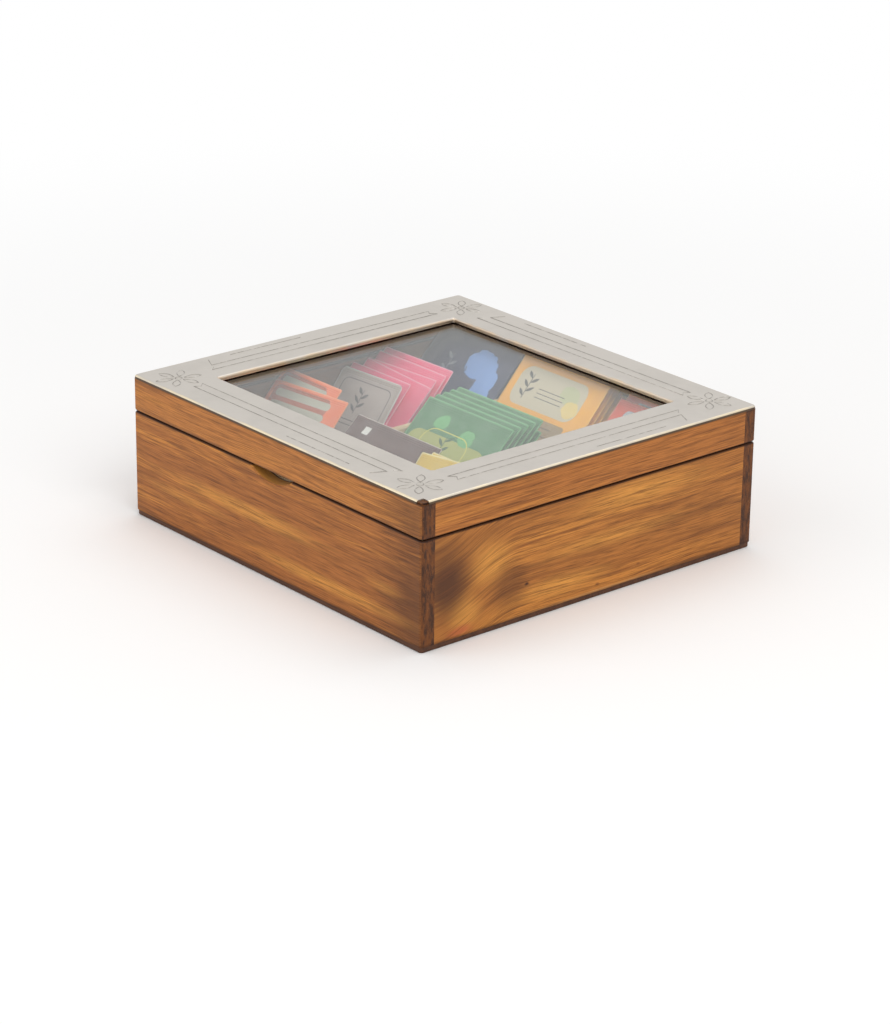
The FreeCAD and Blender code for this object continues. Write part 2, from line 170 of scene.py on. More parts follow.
class Bench:
    """Mixes one finish: a Principled shader and the fields and colours led into it."""

    def __init__(
        self, name: str, roughness: float, body: Colour = (255, 255, 255), **constants: float
    ) -> None:
        """Starts a material.

        Args:
            name: the finish.
            roughness: how matt it is.
            body: the colour that further ones are laid over.
            constants: further sockets of the shader, with underscores for spaces.
        """
        self.material = bpy.data.materials.new(name)
        self.material.use_nodes = True
        self.tree = self.material.node_tree
        self.shader = self.tree.nodes["Principled BSDF"]
        self.shader.inputs["Roughness"].default_value = roughness
        self.colour: "Paint" = body
        for key, value in constants.items():
            self.shader.inputs[key.replace("_", " ")].default_value = value

    def _split(self, vector: NodeSocket) -> tuple[Field, Field, Field]:
        """The three parts of a vector.

        Args:
            vector: the vector's socket.

        Returns:
            Its X, Y and Z.
        """
        node = self.tree.nodes.new("ShaderNodeSeparateXYZ")
        self.tree.links.new(vector, node.inputs[0])
        return tuple(Field(self.tree, out) for out in node.outputs)

    def place(self) -> tuple[Field, Field, Field]:
        """Where a point lies on the object, in millimetres."""
        node = self.tree.nodes.new("ShaderNodeTexCoord")
        return tuple(part * (1 / MM) for part in self._split(node.outputs["Object"]))

    def facing(self) -> tuple[Field, Field, Field]:
        """Which way the surface faces."""
        node = self.tree.nodes.new("ShaderNodeNewGeometry")
        return self._split(node.outputs["Normal"])

    def sheet(self, width: float, height: float) -> tuple[Field, Field]:
        """Where a point lies on a packet's face, in millimetres from its lower left.

        Args:
            width: across the packet.
            height: from its foot to its top edge.

        Returns:
            How far across and how far up.
        """
        node = self.tree.nodes.new("ShaderNodeUVMap")
        node.uv_map = PACKET_MAP
        across, up, _ = self._split(node.outputs["UV"])
        return across * width, up * height

    def noise(
        self, place: Sequence[Number], size: Sequence[float], detail: float = 2.0, rough: float = 0.5
    ) -> Field:
        """Smooth noise over a place.

        Args:
            place: three parts, where a plain number chooses another pattern.
            size: how large the noise is along each part.
            detail: how many finer layers it has.
            rough: how strong those layers are.

        Returns:
            A field about 0.5.
        """
        joined = self.tree.nodes.new("ShaderNodeCombineXYZ")
        for slot, part, length in zip(joined.inputs, place, size):
            feed(self.tree, slot, part / length)
        node = self.tree.nodes.new("ShaderNodeTexNoise")
        names = ("Vector", "Scale", "Detail", "Roughness")
        for name, value in zip(names, (joined.outputs[0], 1.0, detail, rough)):
            feed(self.tree, node.inputs[name], value)
        return Field(self.tree, node.outputs["Fac"])

    def blend(self, share: Number, under: "Paint", over: "Paint") -> NodeSocket:
        """Lays one colour over another.

        Args:
            share: how much of the upper one covers, from 0 to 1.
            under: the lower colour.
            over: the upper colour.

        Returns:
            The mixed colour's socket.
        """
        node = self.tree.nodes.new("ShaderNodeMix")
        node.data_type = "RGBA"
        for name, value in (("Factor", share), (MIX_UNDER, under), (MIX_OVER, over)):
            feed(self.tree, node.inputs[name], linear(value) if isinstance(value, tuple) else value)
        return node.outputs[MIX_RESULT]

    def lay(self, share: Number, over: "Paint") -> None:
        """Lays a colour over what the bench holds, where the share is above 0."""
        self.colour = self.blend(share, self.colour, over)

    def shade(self, colour: NodeSocket, amount: Field) -> NodeSocket:
        """A colour made lighter or darker by a field, where 1 leaves it.

        Args:
            colour: the colour's socket.
            amount: what it is multiplied by.

        Returns:
            The result's socket.
        """
        node = self.tree.nodes.new("ShaderNodeVectorMath")
        node.operation = "SCALE"
        feed(self.tree, node.inputs[0], colour)
        feed(self.tree, node.inputs["Scale"], amount)
        return node.outputs[0]

    def cover(self, share: NodeSocket, over: NodeSocket) -> None:
        """Shows another shader in place of this one where the share is 1.

        Args:
            share: how much of the other shader shows.
            over: the other shader's output.
        """
        mix = self.tree.nodes.new("ShaderNodeMixShader")
        for slot, value in zip(mix.inputs, (share, self.shader.outputs[0], over)):
            feed(self.tree, slot, value)
        feed(self.tree, self.tree.nodes["Material Output"].inputs["Surface"], mix.outputs[0])

    def finish(self, relief: Field, depth: float, matt: Field | None = None) -> Material:
        """Leads the colour so far, the relief and the roughness into the shader.

        Args:
            relief: the height of the fine relief, from 0 to 1.
            depth: what a relief of 1 stands for, in millimetres.
            matt: the roughness, where it varies.

        Returns:
            The material.
        """
        feed(self.tree, self.shader.inputs["Base Color"], self.colour)
        bump = self.tree.nodes.new("ShaderNodeBump")
        for name, value in (("Strength", 1.0), ("Distance", depth * MM), ("Height", relief)):
            feed(self.tree, bump.inputs[name], value)
        feed(self.tree, self.shader.inputs["Normal"], bump.outputs[0])
        if matt is not None:
            feed(self.tree, self.shader.inputs["Roughness"], matt)
        return self.material


Paint = Union[Colour, NodeSocket]


# ---- Finishes ----


class Grain(Enum):
    """Which way the wood's fibres run, as the number of the axis."""

    ACROSS_FRONT = 0
    FRONT_TO_BACK = 1


@dataclass(frozen=True)
class Mark:
    """A cloud in the staining, a knot or a golden patch, soft at its edge.

    ragged is how far the grain breaks up the edge, where 1 lets the fibres show.
    """

    middle: Point
    reach: Point
    colour: Colour
    strength: float
    ragged: float = 1.0


SMOKE: Colour = (78, 46, 28)
AMBER: Colour = (208, 144, 66)
FRONT_FACE, RIGHT_FACE = -108.0, 115.0


def on_front(x: float, z: float, half_width: float, half_height: float, colour: Colour,
             strength: float, ragged: float = 1.0) -> Mark:
    """A mark on the front board or rail."""
    return Mark((x, FRONT_FACE, z), (half_width, 8.0, half_height), colour, strength, ragged)


def on_side(y: float, z: float, half_width: float, half_height: float, colour: Colour,
            strength: float, ragged: float = 1.0, depth: float = 10.0) -> Mark:
    """A mark on the right board."""
    return Mark((RIGHT_FACE, y, z), (depth, half_width, half_height), colour, strength, ragged)


FRONT_MARKS: tuple[Mark, ...] = (
    on_front(113.0, 66.0, 38.0, 20.0, SMOKE, 0.55),
    on_front(114.0, 22.0, 36.0, 44.0, SMOKE, 0.7, 0.45),
    on_front(-20.0, 31.0, 72.0, 5.0, AMBER, 0.8),
    on_front(45.0, 12.5, 70.0, 4.5, AMBER, 0.75),
    on_front(-70.0, 22.0, 40.0, 3.5, AMBER, 0.5),
    on_front(88.0, 25.0, 16.0, 3.5, AMBER, 0.4),
)
SIDE_MARKS: tuple[Mark, ...] = (
    on_side(30.0, 49.0, 52.0, 8.5, AMBER, 0.8),
    on_side(12.0, 30.0, 52.0, 5.0, AMBER, 0.65),
    on_side(-22.0, 13.0, 34.0, 6.0, AMBER, 0.85),
    on_side(-66.0, 36.0, 15.0, 13.0, AMBER, 0.75),
    on_side(-82.0, 14.0, 12.0, 11.0, AMBER, 0.85),
    on_side(-93.0, 31.0, 19.0, 21.0, SMOKE, 0.95, 0.3),
    on_side(-54.0, 20.0, 14.0, 16.0, SMOKE, 0.5, 0.4),
    on_side(60.0, 27.0, 40.0, 5.0, SMOKE, 0.25),
    on_side(-104.0, 50.0, 30.0, 9.0, SMOKE, 0.35),
    on_side(-84.0, 5.8, 10.0, 3.2, (190, 92, 60), 0.6),
    on_side(0.0, 3.6, 60.0, 0.9, (226, 168, 104), 0.7),
    on_side(-43.0, 19.0, 1.7, 0.9, (52, 32, 24), 1.0, depth=6.0),
    on_side(3.0, 7.0, 1.8, 1.0, (92, 56, 36), 0.7, depth=6.0),
    on_side(30.0, 11.0, 1.4, 0.8, (92, 56, 36), 0.5, depth=6.0),
)


@dataclass(frozen=True)
class Sweep:
    """Where the grain of a board sweeps down round a knot near its end."""

    start: float
    end: float
    drop: float


@dataclass(frozen=True)
class Interior:
    """The space that the boards close round; the darker brown on its faces is painted shade of the closed
    box.
    """

    half_width: float = 108.0
    half_depth: float = 101.5
    # Painted shade: the darker brown of the inside faces of the boards.
    inside_shade: Colour = (104, 72, 50)


@dataclass(frozen=True)
class StainedWood:
    """Softwood, stained brown, with golden streaks where the staining took less."""

    name: str
    grain: Grain
    body: Colour = (160, 99, 48)
    gold: Colour = (196, 130, 58)
    dark: Colour = (110, 64, 32)
    end: Colour = (108, 62, 27)
    streaks: float = 0.7
    marks: tuple[Mark, ...] = ()
    sweep: Sweep | None = None
    seam: float = 56.8
    top: float = 75.3
    interior: Interior = Interior()
    seed: float = 0.0
    broad_size: Point = (190.0, 9.0, 14.0)
    streak_size: Point = (62.0, 2.2, 3.0)
    fibre_size: Point = (17.0, 0.5, 0.6)
    fine_size: Point = (7.0, 0.27, 0.3)
    wander_size: Point = (90.0, 30.0, 1.0)
    wander: float = 5.0
    ring_size: Point = (7.0, 2.2, 6.0)
    dust_size: Point = (0.8, 0.6, 1.2)
    ring_dark: Colour = (62, 38, 26)
    dust: Colour = (164, 118, 80)
    # Painted shadow: the near-black brown laid along the lid seam, under the cover's edge and near the
    # floor, within these reaches in millimetres.
    edge_shadow_colour: Colour = (36, 12, 5)
    seam_shadow_reach: tuple[float, float] = (1.3, 0.5)
    cover_shadow_reach: tuple[float, float] = (1.9, 0.9)
    foot_shadow_reach: tuple[float, float] = (4.6, 3.2)

    def make(self) -> Material:
        """Builds the material.

        Returns:
            Wood whose fibres follow the board, with end grain at the board's ends.
        """
        bench = Bench(self.name, 0.55, self.body, Specular_IOR_Level=0.25)
        place = bench.place()
        along, depth, height = place[self.grain.value], place[1 - self.grain.value], place[2]
        wander = bench.noise((along, height, self.seed), self.wander_size, 1.0)
        layer = height + (wander - 0.5) * self.wander
        turned: Number = 0.0
        if self.sweep is not None:
            turned = along.ramp(self.sweep.start, self.sweep.end)
            layer = layer + turned * self.sweep.drop
        along = along + self.seed
        spot = (along, layer, depth)
        broad = bench.noise(spot, self.broad_size, 2.0)
        streak = bench.noise(spot, self.streak_size, 3.0, 0.6)
        fibre = bench.noise(spot, self.fibre_size, 3.0, 0.65)
        fine = bench.noise(spot, self.fine_size, 2.0)
        fibre = fibre + (fibre * -1.0 + 0.5) * turned * 0.8
        thread = fibre.ramp(0.34, 0.66)
        golden = (broad * 1.2 + streak * 0.8).ramp(1.0, 1.28) * self.streaks * (thread * 0.5 + 0.6)
        bench.lay(golden, self.gold)
        for mark in self.marks:
            self._stain(bench, place, mark, streak, fibre)
        bench.lay(streak.ramp(0.50, 0.34) * 0.5, self.dark)
        bench.lay(fibre.ramp(0.44, 0.30) * 0.6, self.dark)
        bench.colour = bench.shade(bench.colour, thread * 0.46 + fine * 0.5 + 0.55)
        at_end = bench.facing()[self.grain.value].size().ramp(0.55, 0.75)
        bench.lay(at_end, self._end_grain(bench, along, depth, height))
        self._paint_inside_and_edge_shade(bench, place)
        return bench.finish(fibre * 0.7 + fine * 0.3, 0.12, fibre * 0.2 + 0.42)

    def _end_grain(self, bench: Bench, along: Field, depth: Field, height: Field) -> NodeSocket:
        """The cut ends of the fibres: dark, in rings, and dusty.

        Args:
            bench: the material's bench.
            along: the place along the fibres.
            depth: the place across the board.
            height: the place up the board.

        Returns:
            The colour of the ends.
        """
        rings = bench.noise((height, depth, along), self.ring_size, 4.0, 0.7)
        dust = bench.noise((along, depth, height), self.dust_size, 3.0, 0.7)
        end = bench.blend(rings.ramp(0.62, 0.36) * 0.9, self.end, self.ring_dark)
        end = bench.blend(dust.ramp(0.58, 0.74) * 0.35, end, self.dust)
        return bench.shade(end, rings * 0.9 + 0.58)

    def _paint_inside_and_edge_shade(self, bench: Bench, place: Sequence[Field]) -> None:
        """Paints shade on the inside faces, painted shadow along the lid seam, under the cover's edge and
        near the floor, and painted light on the finger notch's floor.

        Args:
            bench: the material's bench.
            place: the place on the box.
        """
        x, y, height = place
        inside = (x.size() - self.interior.half_width).most(y.size() - self.interior.half_depth)
        # Painted shade: the inside faces of the boards get a darker brown.
        bench.lay(inside.ramp(0.3, -0.3) * 0.8, self.interior.inside_shade)
        # Painted shadow: darker wood along the lid seam, under the metal cover's edge and near the floor.
        edge = (height - self.seam).size().ramp(*self.seam_shadow_reach) * 0.9
        edge = edge.most((height - self.top).size().ramp(*self.cover_shadow_reach) * 0.6)
        edge = edge.most(height.ramp(*self.foot_shadow_reach) * 0.45)
        bench.lay(edge, self.edge_shadow_colour)
        # Painted light: the upward faces of the finger notch, below the seam and outside the inside faces,
        # get amber.
        below = height.ramp(self.seam - 0.4, self.seam - 1.2)
        notch_light_mask = bench.facing()[2].ramp(0.75, 0.92) * inside.ramp(-0.3, 0.3) * below
        bench.lay(notch_light_mask * 0.8, AMBER)

    @staticmethod
    def _stain(
        bench: Bench, place: Sequence[Field], mark: Mark, streak: Field, fibre: Field
    ) -> None:
        """Lays one mark over the colour, its edge broken up by the streaks.

        Args:
            bench: the material's bench.
            place: the place on the box.
            mark: where the mark lies and how strong it is.
            streak: the broad grain.
            fibre: the fine grain.
        """
        parts = [(p - m) / r for p, m, r in zip(place, mark.middle, mark.reach)]
        ragged = distance(*parts) + ((streak - 0.5) * 1.6 + (fibre - 0.5) * 0.8) * mark.ragged
        bench.lay(ragged.ramp(1.2, 0.2) * mark.strength, mark.colour)


@dataclass(frozen=True)
class PlainWood:
    """Evenly coloured wood, for the parts inside and underneath."""

    name: str
    body: Colour
    dark: Colour
    fibre_size: Point = (15.0, 0.7, 0.7)
    band_size: Point = (120.0, 6.0, 6.0)

    def make(self, grain: Grain) -> Material:
        """Builds the material.

        Args:
            grain: which way the fibres run.

        Returns:
            Wood with fine fibres and broad, faint bands.
        """
        bench = Bench(f"{self.name}.{grain.value}", 0.6, self.body, Specular_IOR_Level=0.3)
        place = bench.place()
        along, depth, height = place[grain.value], place[1 - grain.value], place[2]
        fibre = bench.noise((along, depth, height), self.fibre_size, 3.0, 0.6)
        band = bench.noise((along, depth, height), self.band_size, 2.0)
        bench.lay((fibre * 0.7 + band * 0.6).ramp(0.5, 0.8) * 0.8, self.dark)
        bench.colour = bench.shade(bench.colour, fibre * 0.5 + 0.75)
        return bench.finish(fibre, 0.1, fibre * 0.2 + 0.5)


@dataclass(frozen=True)
class PressedMetal:
    """Thin grey sheet, satin, with a cream painted highlight along its rolled edges and a painted shadow
    line under them.
    """

    name: str
    edge_width: float = 0.9
    body: Colour = (203, 197, 189)
    tarnish: Colour = (184, 179, 172)
    edge_highlight_colour: Colour = (236, 220, 188)
    scratched: Colour = (138, 134, 128)
    worn_gilding: Colour = (226, 186, 128)
    # Painted shadow: the dark brown line at the foot of the cover's turned-down edge.
    skirt_shadow_colour: Colour = (66, 40, 24)
    cloud_size: Point = (22.0, 22.0, 9.0)
    brush_size: Point = (2.2, 1.4, 2.0)
    scratch_size: Point = (26.0, 0.5, 1.0)
    break_size: Point = (13.0, 13.0, 1.0)
    broken: float = 2.6

    def make(self, lid: "Rim") -> Material:
        """Builds the material.

        Args:
            lid: the cover's outline and window, where the painted edge highlight and the worn gold show.

        Returns:
            The metal's finish.
        """
        bench = Bench(self.name, 0.36, self.body, Metallic=1.0)
        x, y, z = bench.place()
        cloud = bench.noise((x, y, z), self.cloud_size, 3.0, 0.6)
        brush = bench.noise((x, y, z), self.brush_size, 3.0, 0.6)
        scratch = bench.noise((x + y, x - y, 0.0), self.scratch_size, 2.0, 0.6)
        bench.lay(cloud.ramp(0.42, 0.72) * 0.3, self.tarnish)
        bench.lay(scratch.ramp(0.64, 0.74) * 0.22, self.scratched)
        outside = (x.size() - lid.half_width).most(y.size() - lid.half_depth)
        inward_x = x.size() - lid.window_half_width
        inward_y = (y - lid.window_middle).size() - lid.window_half_depth
        inside = inward_x.most(inward_y) * -1.0
        broken = (bench.noise((x, y, 3.0), self.break_size, 2.0) - 0.5) * self.broken
        # Painted highlight: cream along the cover's rolled outer edges, broken up by the cloud noise.
        rolled = (outside + broken * 0.3).ramp(-self.edge_width - 0.3, -self.edge_width + 0.3)
        rolled = rolled * (cloud.ramp(0.36, 0.58) * 0.65 + 0.35)
        worn = (inside + broken).ramp(-self.edge_width, -self.edge_width + 1.2) * 0.45
        bench.lay(rolled * 0.85, self.edge_highlight_colour)
        bench.lay(worn, self.worn_gilding)
        # Painted shadow: a dark brown line along the lowest part of the cover's outer edge, over the wood.
        skirt_shadow_mask = outside.ramp(-0.6, -0.2) * z.ramp(lid.top - 0.68, lid.top - 0.88)
        bench.lay(skirt_shadow_mask * 0.9, self.skirt_shadow_colour)
        return bench.finish(cloud * 0.35 + brush * 0.06, 0.25, brush * 0.1 + (cloud * 0.1 + 0.28))


@dataclass(frozen=True)
class Patina:
    """The darker metal of the pressed lines, where polish doesn't reach."""

    name: str
    body: Colour = (154, 149, 142)
    bright: Colour = (196, 192, 186)
    patch: Point = (3.0, 3.0, 1.0)

    def make(self) -> Material:
        """Builds the material.

        Returns:
            Metal with brighter patches.
        """
        bench = Bench(self.name, 0.5, self.body, Metallic=1.0)
        x, y, z = bench.place()
        rubbed = bench.noise((x, y, z), self.patch, 3.0)
        bench.lay(rubbed.ramp(0.42, 0.7), self.bright)
        return bench.finish(rubbed, 0.05)


@dataclass(frozen=True)
class Brass:
    """Satin brass of the hinges and screws."""

    name: str
    body: Colour = (214, 176, 112)
    dark: Colour = (150, 112, 62)
    patch: Point = (3.0, 3.0, 3.0)

    def make(self) -> Material:
        """Builds the material.

        Returns:
            Brass with darker patches.
        """
        bench = Bench(self.name, 0.3, self.body, Metallic=1.0)
        x, y, z = bench.place()
        wear = bench.noise((x, y, z), self.patch, 4.0, 0.6)
        bench.lay(wear.ramp(0.45, 0.75) * 0.6, self.dark)
        return bench.finish(wear, 0.04, wear * 0.25 + 0.2)


@dataclass(frozen=True)
class WindowGlass:
    """Clear float glass, which lets the lamps through to the compartments."""

    name: str
    tint: Colour = (240, 244, 241)

    def make(self) -> Material:
        """Builds the material: glass to the eye, a clear pane to the lamps.

        Returns:
            The glass.
        """
        bench = Bench(self.name, 0.0, Transmission_Weight=1.0, IOR=1.36)
        bench.shader.inputs["Base Color"].default_value = linear(self.tint)
        clear = bench.tree.nodes.new("ShaderNodeBsdfTransparent")
        ray = bench.tree.nodes.new("ShaderNodeLightPath")
        bench.cover(ray.outputs["Is Shadow Ray"], clear.outputs[0])
        return bench.material


# ---- Printed paper ----

PACKET_MAP = "packet"


class Shape(Enum):
    """The simple shapes that a packet is printed with."""

    PANEL = "rounded rectangle"
    FRAME = "outline of a rounded rectangle"
    BLOB = "ragged ellipse"
    LEAF = "pointed leaf"


@dataclass(frozen=True)
class Ink:
    """One printed shape, in millimetres from the packet's lower left corner."""

    shape: Shape
    colour: Colour
    middle: tuple[float, float]
    half: tuple[float, float]
    turn: float = 0.0
    rounding: float = 0.0
    strength: float = 1.0


@dataclass(frozen=True)
class PrintedPaper:
    """Coated paper of a packet: a ground colour and what is printed over it."""

    name: str
    ground: Colour
    inks: tuple[Ink, ...] = ()
    rim: Colour = (236, 226, 216)
    rim_width: float = 0.7
    seal: float = 4.0
    crimp: float = 1.1
    rough: float = 0.5
    crumple: Point = (9.0, 9.0, 1.0)
    fleck: Point = (0.7, 0.7, 1.0)
    frame_line: float = 0.25

    def make(self, width: float, height: float) -> Material:
        """Builds the material for packets of one size.

        Args:
            width: across the packet.
            height: from its foot to its top edge.

        Returns:
            Printed paper with crimped seals at its edges.
        """
        bench = Bench(self.name, self.rough, self.ground, Coat_Weight=0.15, Coat_Roughness=0.3)
        across, up = bench.sheet(width, height)
        soft = bench.noise((across, up, 1.0), self.crumple, 3.0, 0.6)
        fleck = bench.noise((across, up, 2.0), self.fleck, 2.0)
        bench.lay(soft.ramp(0.35, 0.75) * 0.05, (255, 255, 255))
        for ink in self.inks:
            cover = self._cover(across, up, ink, soft)
            bench.lay(cover * ink.strength, ink.colour)
        to_side = (across - width / 2).size() * -1.0 + width / 2
        to_top = (up - height / 2).size() * -1.0 + height / 2
        edge = to_side.least(to_top)
        bench.lay(edge.ramp(self.rim_width + 0.2, self.rim_width - 0.2) * 0.8, self.rim)
        bench.colour = bench.shade(bench.colour, fleck * 0.12 + 0.94)
        ribs, side_ribs = (
            (away * (2 * math.pi / self.crimp)).sine() * away.ramp(self.seal, self.seal - 0.5)
            for away in (to_top, to_side))
        relief = (ribs + side_ribs) * 0.2 + soft * 0.3
        return bench.finish(relief, 0.3, soft * 0.2 + (self.rough - 0.1))

    def _cover(self, across: Field, up: Field, ink: Ink, soft: Field) -> Field:
        """How much one printed shape covers at each point.

        Args:
            across: the place across the packet.
            up: the place up the packet.
            ink: the shape.
            soft: the noise that makes an edge ragged.

        Returns:
            The share, from 0 to 1.
        """
        x, y = across - ink.middle[0], up - ink.middle[1]
        if ink.turn:
            sine, cosine = math.sin(math.radians(ink.turn)), math.cos(math.radians(ink.turn))
            x, y = x * cosine + y * sine, y * cosine - x * sine
        if ink.shape in (Shape.PANEL, Shape.FRAME):
            qx = x.size() - (ink.half[0] - ink.rounding)
            qy = y.size() - (ink.half[1] - ink.rounding)
            away = distance(qx.most(0.0), qy.most(0.0)) + qx.most(qy).least(0.0) - ink.rounding
            if ink.shape is Shape.FRAME:
                away = away.size() - self.frame_line
            return away.ramp(0.2, -0.2)
        if ink.shape is Shape.LEAF:
            belly = (x / ink.half[0]) * (x / ink.half[0]) * -1.0 + 1.0
            return (y.size() - belly * ink.half[1]).ramp(0.15, -0.15)
        away = distance(x / ink.half[0], y / ink.half[1]) + (soft - 0.5) * 1.2
        return away.ramp(1.08, 0.96)


def blob(colour: Colour, x: float, y: float, half_width: float, half_height: float,
         strength: float = 1.0) -> Ink:
    """A printed patch with a ragged edge."""
    return Ink(Shape.BLOB, colour, (x, y), (half_width, half_height), strength=strength)


def panel(colour: Colour, x0: float, x1: float, y0: float, y1: float, rounding: float = 0.0,
          strength: float = 1.0) -> Ink:
    """A printed rounded rectangle between four edges."""
    return Ink(Shape.PANEL, colour, ((x0 + x1) / 2, (y0 + y1) / 2), ((x1 - x0) / 2, (y1 - y0) / 2),
               rounding=rounding, strength=strength)


def sprig(colour: Colour, x: float, y: float, length: float, leaves: int = 5) -> tuple[Ink, ...]:
    """A stem with leaves on both sides, rising from a point.

    Args:
        colour: the ink.
        x: across to the stem's foot.
        y: up to the stem's foot.
        length: the stem's length.
        leaves: how many leaves it carries.

    Returns:
        The stem's and the leaves' shapes.
    """
    inks = [panel(colour, x - 0.25, x + 0.25, y, y + length)]
    for step in range(leaves):
        side = 1 if step % 2 else -1
        middle = (x + side * 2.4, y + length * (step + 1.2) / (leaves + 0.6))
        inks.append(Ink(Shape.LEAF, colour, middle, (3.0, 0.9), turn=side * 38.0))
    return tuple(inks)


def rules(colour: Colour, x0: float, x1: float, heights: Iterable[float]) -> tuple[Ink, ...]:
    """Thin level lines between two edges."""
    return tuple(panel(colour, x0, x1, y - 0.22, y + 0.22) for y in heights)


CREAM: Colour = (214, 200, 176)
STONE: Colour = (140, 128, 108)
INK_GREY: Colour = (74, 70, 72)
PEACH: Colour = (240, 176, 128)

PAPERS: dict[str, PrintedPaper] = {
    "navy": PrintedPaper("navy_print", (14, 30, 84), (
        blob((122, 166, 238), 45.0, 55.0, 11.0, 9.0),
        blob((122, 166, 238), 53.0, 38.0, 6.5, 20.0),
        panel((86, 84, 66), 2.0, 46.0, 12.0, 25.0, 2.0, 0.8),
        *sprig((118, 128, 150), 22.0, 34.0, 22.0),
        *rules((118, 128, 150), 10.0, 36.0, (31.0, 28.5)),
    ), rim=(44, 58, 108)),
    "orange": PrintedPaper("orange_print", (255, 176, 0), (
        panel(CREAM, 5.0, 56.0, 42.0, 65.0, 7.0),
        blob((196, 202, 150), 46.0, 56.0, 7.0, 5.0, 0.7),
        blob((250, 216, 120), 50.0, 49.0, 5.0, 5.0, 0.8),
        panel(STONE, 2.0, 54.0, 26.0, 39.0, 1.5, 0.85),
        panel(CREAM, 5.0, 46.0, 6.0, 22.0, 2.0),
        blob(PEACH, 52.0, 12.0, 6.0, 6.0),
        *sprig(INK_GREY, 15.0, 46.0, 15.0),
        *rules(INK_GREY, 23.0, 43.0, (54.0, 51.5, 49.0)),
        *rules((84, 74, 62), 8.0, 46.0, (35.0, 30.5)),
    ), rim=(252, 190, 60)),
    "red": PrintedPaper("red_print", (236, 70, 22), (
        panel((190, 196, 206), 8.0, 44.0, 60.0, 66.0, 3.0),
        panel((176, 52, 22), 4.0, 50.0, 44.0, 57.0, 3.0, 0.8),
        panel((206, 198, 206), 6.0, 44.0, 27.0, 38.0, 3.0),
        panel((248, 120, 56), 52.0, 66.0, 0.0, 71.0),
    ), rim=(244, 150, 110)),
    "pink": PrintedPaper("pink_print", (250, 84, 130), (
        panel((170, 60, 84), 0.0, 60.0, 0.0, 30.0, 0.0, 0.5),
        *rules((190, 54, 88), 8.0, 44.0, (52.0,)),
    ), rim=(246, 176, 198), rim_width=0.5),
    "silver": PrintedPaper("silver_print", (168, 150, 144), (
        panel((178, 162, 158), 3.0, 45.0, 30.0, 66.0, 4.0),
        Ink(Shape.FRAME, (84, 74, 76), (24.0, 48.0), (19.0, 16.0), rounding=4.0),
        panel((92, 82, 62), 3.0, 45.0, 8.0, 26.0, 2.0, 0.8),
        *sprig(INK_GREY, 24.0, 46.0, 14.0),
        *rules(INK_GREY, 11.0, 37.0, (42.0, 39.5)),
    ), rim=(206, 202, 200), rough=0.36),
    "green": PrintedPaper("green_print", (62, 124, 76), (
        panel((196, 190, 96), 3.0, 60.0, 12.0, 53.0, 6.0, 0.7),
        blob((104, 178, 112), 20.0, 60.0, 5.0, 4.5),
        blob((104, 178, 112), 42.0, 56.0, 5.5, 4.5),
        Ink(Shape.FRAME, (226, 214, 90), (30.0, 47.0), (17.0, 9.0), rounding=8.0),
        panel(STONE, 2.0, 56.0, 24.0, 37.0, 1.5, 0.85),
        blob(PEACH, 54.0, 28.0, 6.0, 6.0),
        panel((226, 210, 96), 4.0, 48.0, 4.0, 21.0, 3.0),
        *sprig((34, 84, 44), 30.0, 41.0, 13.0, 4),
    ), rim=(112, 182, 122)),
    "striped": PrintedPaper("striped_print", (250, 112, 44), (
        panel((150, 78, 64), 3.0, 47.0, 30.0, 69.0, 4.0, 0.75),
        *(panel((190, 184, 170), 5.0, 48.0, y, y + 4.4, 2.2) for y in (62.6, 55.4, 48.2, 41.0)),
    ), rim=(250, 150, 100)),
    "plum": PrintedPaper("plum_print", (84, 40, 32), (
        panel((230, 226, 222), 10.5, 15.0, 62.0, 66.5),
        panel((94, 52, 42), 0.0, 66.0, 0.0, 40.0, 0.0, 0.6),
    ), rim=(214, 200, 192), rim_width=0.35),
    "yellow": PrintedPaper("yellow_print", (226, 184, 40), (
        blob((222, 212, 222), 30.0, 58.0, 11.0, 6.0),
        *sprig((150, 150, 60), 30.0, 26.0, 20.0),
    ), rim=(240, 226, 170)),
}


# ---- Helpers for meshes ----


def stand(name: str, data: bpy.types.ID) -> Object:
    """Puts new data into the scene as an object at the origin.

    Args:
        name: the object.
        data: its mesh, curve, lamp or camera.

    Returns:
        The object.
    """
    piece = bpy.data.objects.new(name, data)
    bpy.context.scene.collection.objects.link(piece)
    return piece


def mesh_piece(
    name: str, points: np.ndarray, faces: Sequence[Sequence[int]], material: Material
) -> Object:
    """Makes a piece at the origin with its place in its mesh.

    Args:
        name: the piece.
        points: its corners, in metres.
        faces: the corners of each face.
        material: its finish.

    Returns:
        The piece.
    """
    mesh = bpy.data.meshes.new(name)
    mesh.from_pydata([tuple(p) for p in points], [], [tuple(f) for f in faces])
    mesh.materials.append(material)
    mesh.validate()
    return stand(name, mesh)


def dress(material: Material, *nodes: str) -> None:
    """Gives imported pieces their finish.

    Args:
        material: the finish.
        nodes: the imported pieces.
    """
    for node in nodes:
        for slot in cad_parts[node].material_slots:
            slot.material = material
        LOG.info("dressed %s", node)


def deliver(piece: Object, body: str, slot: str, *nodes: str) -> None:
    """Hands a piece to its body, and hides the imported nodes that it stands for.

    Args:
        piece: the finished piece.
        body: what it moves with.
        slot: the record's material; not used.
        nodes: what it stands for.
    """
    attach(piece, body)
    if nodes:
        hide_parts(*nodes)
    LOG.info("built %s on %s", piece.name, body)


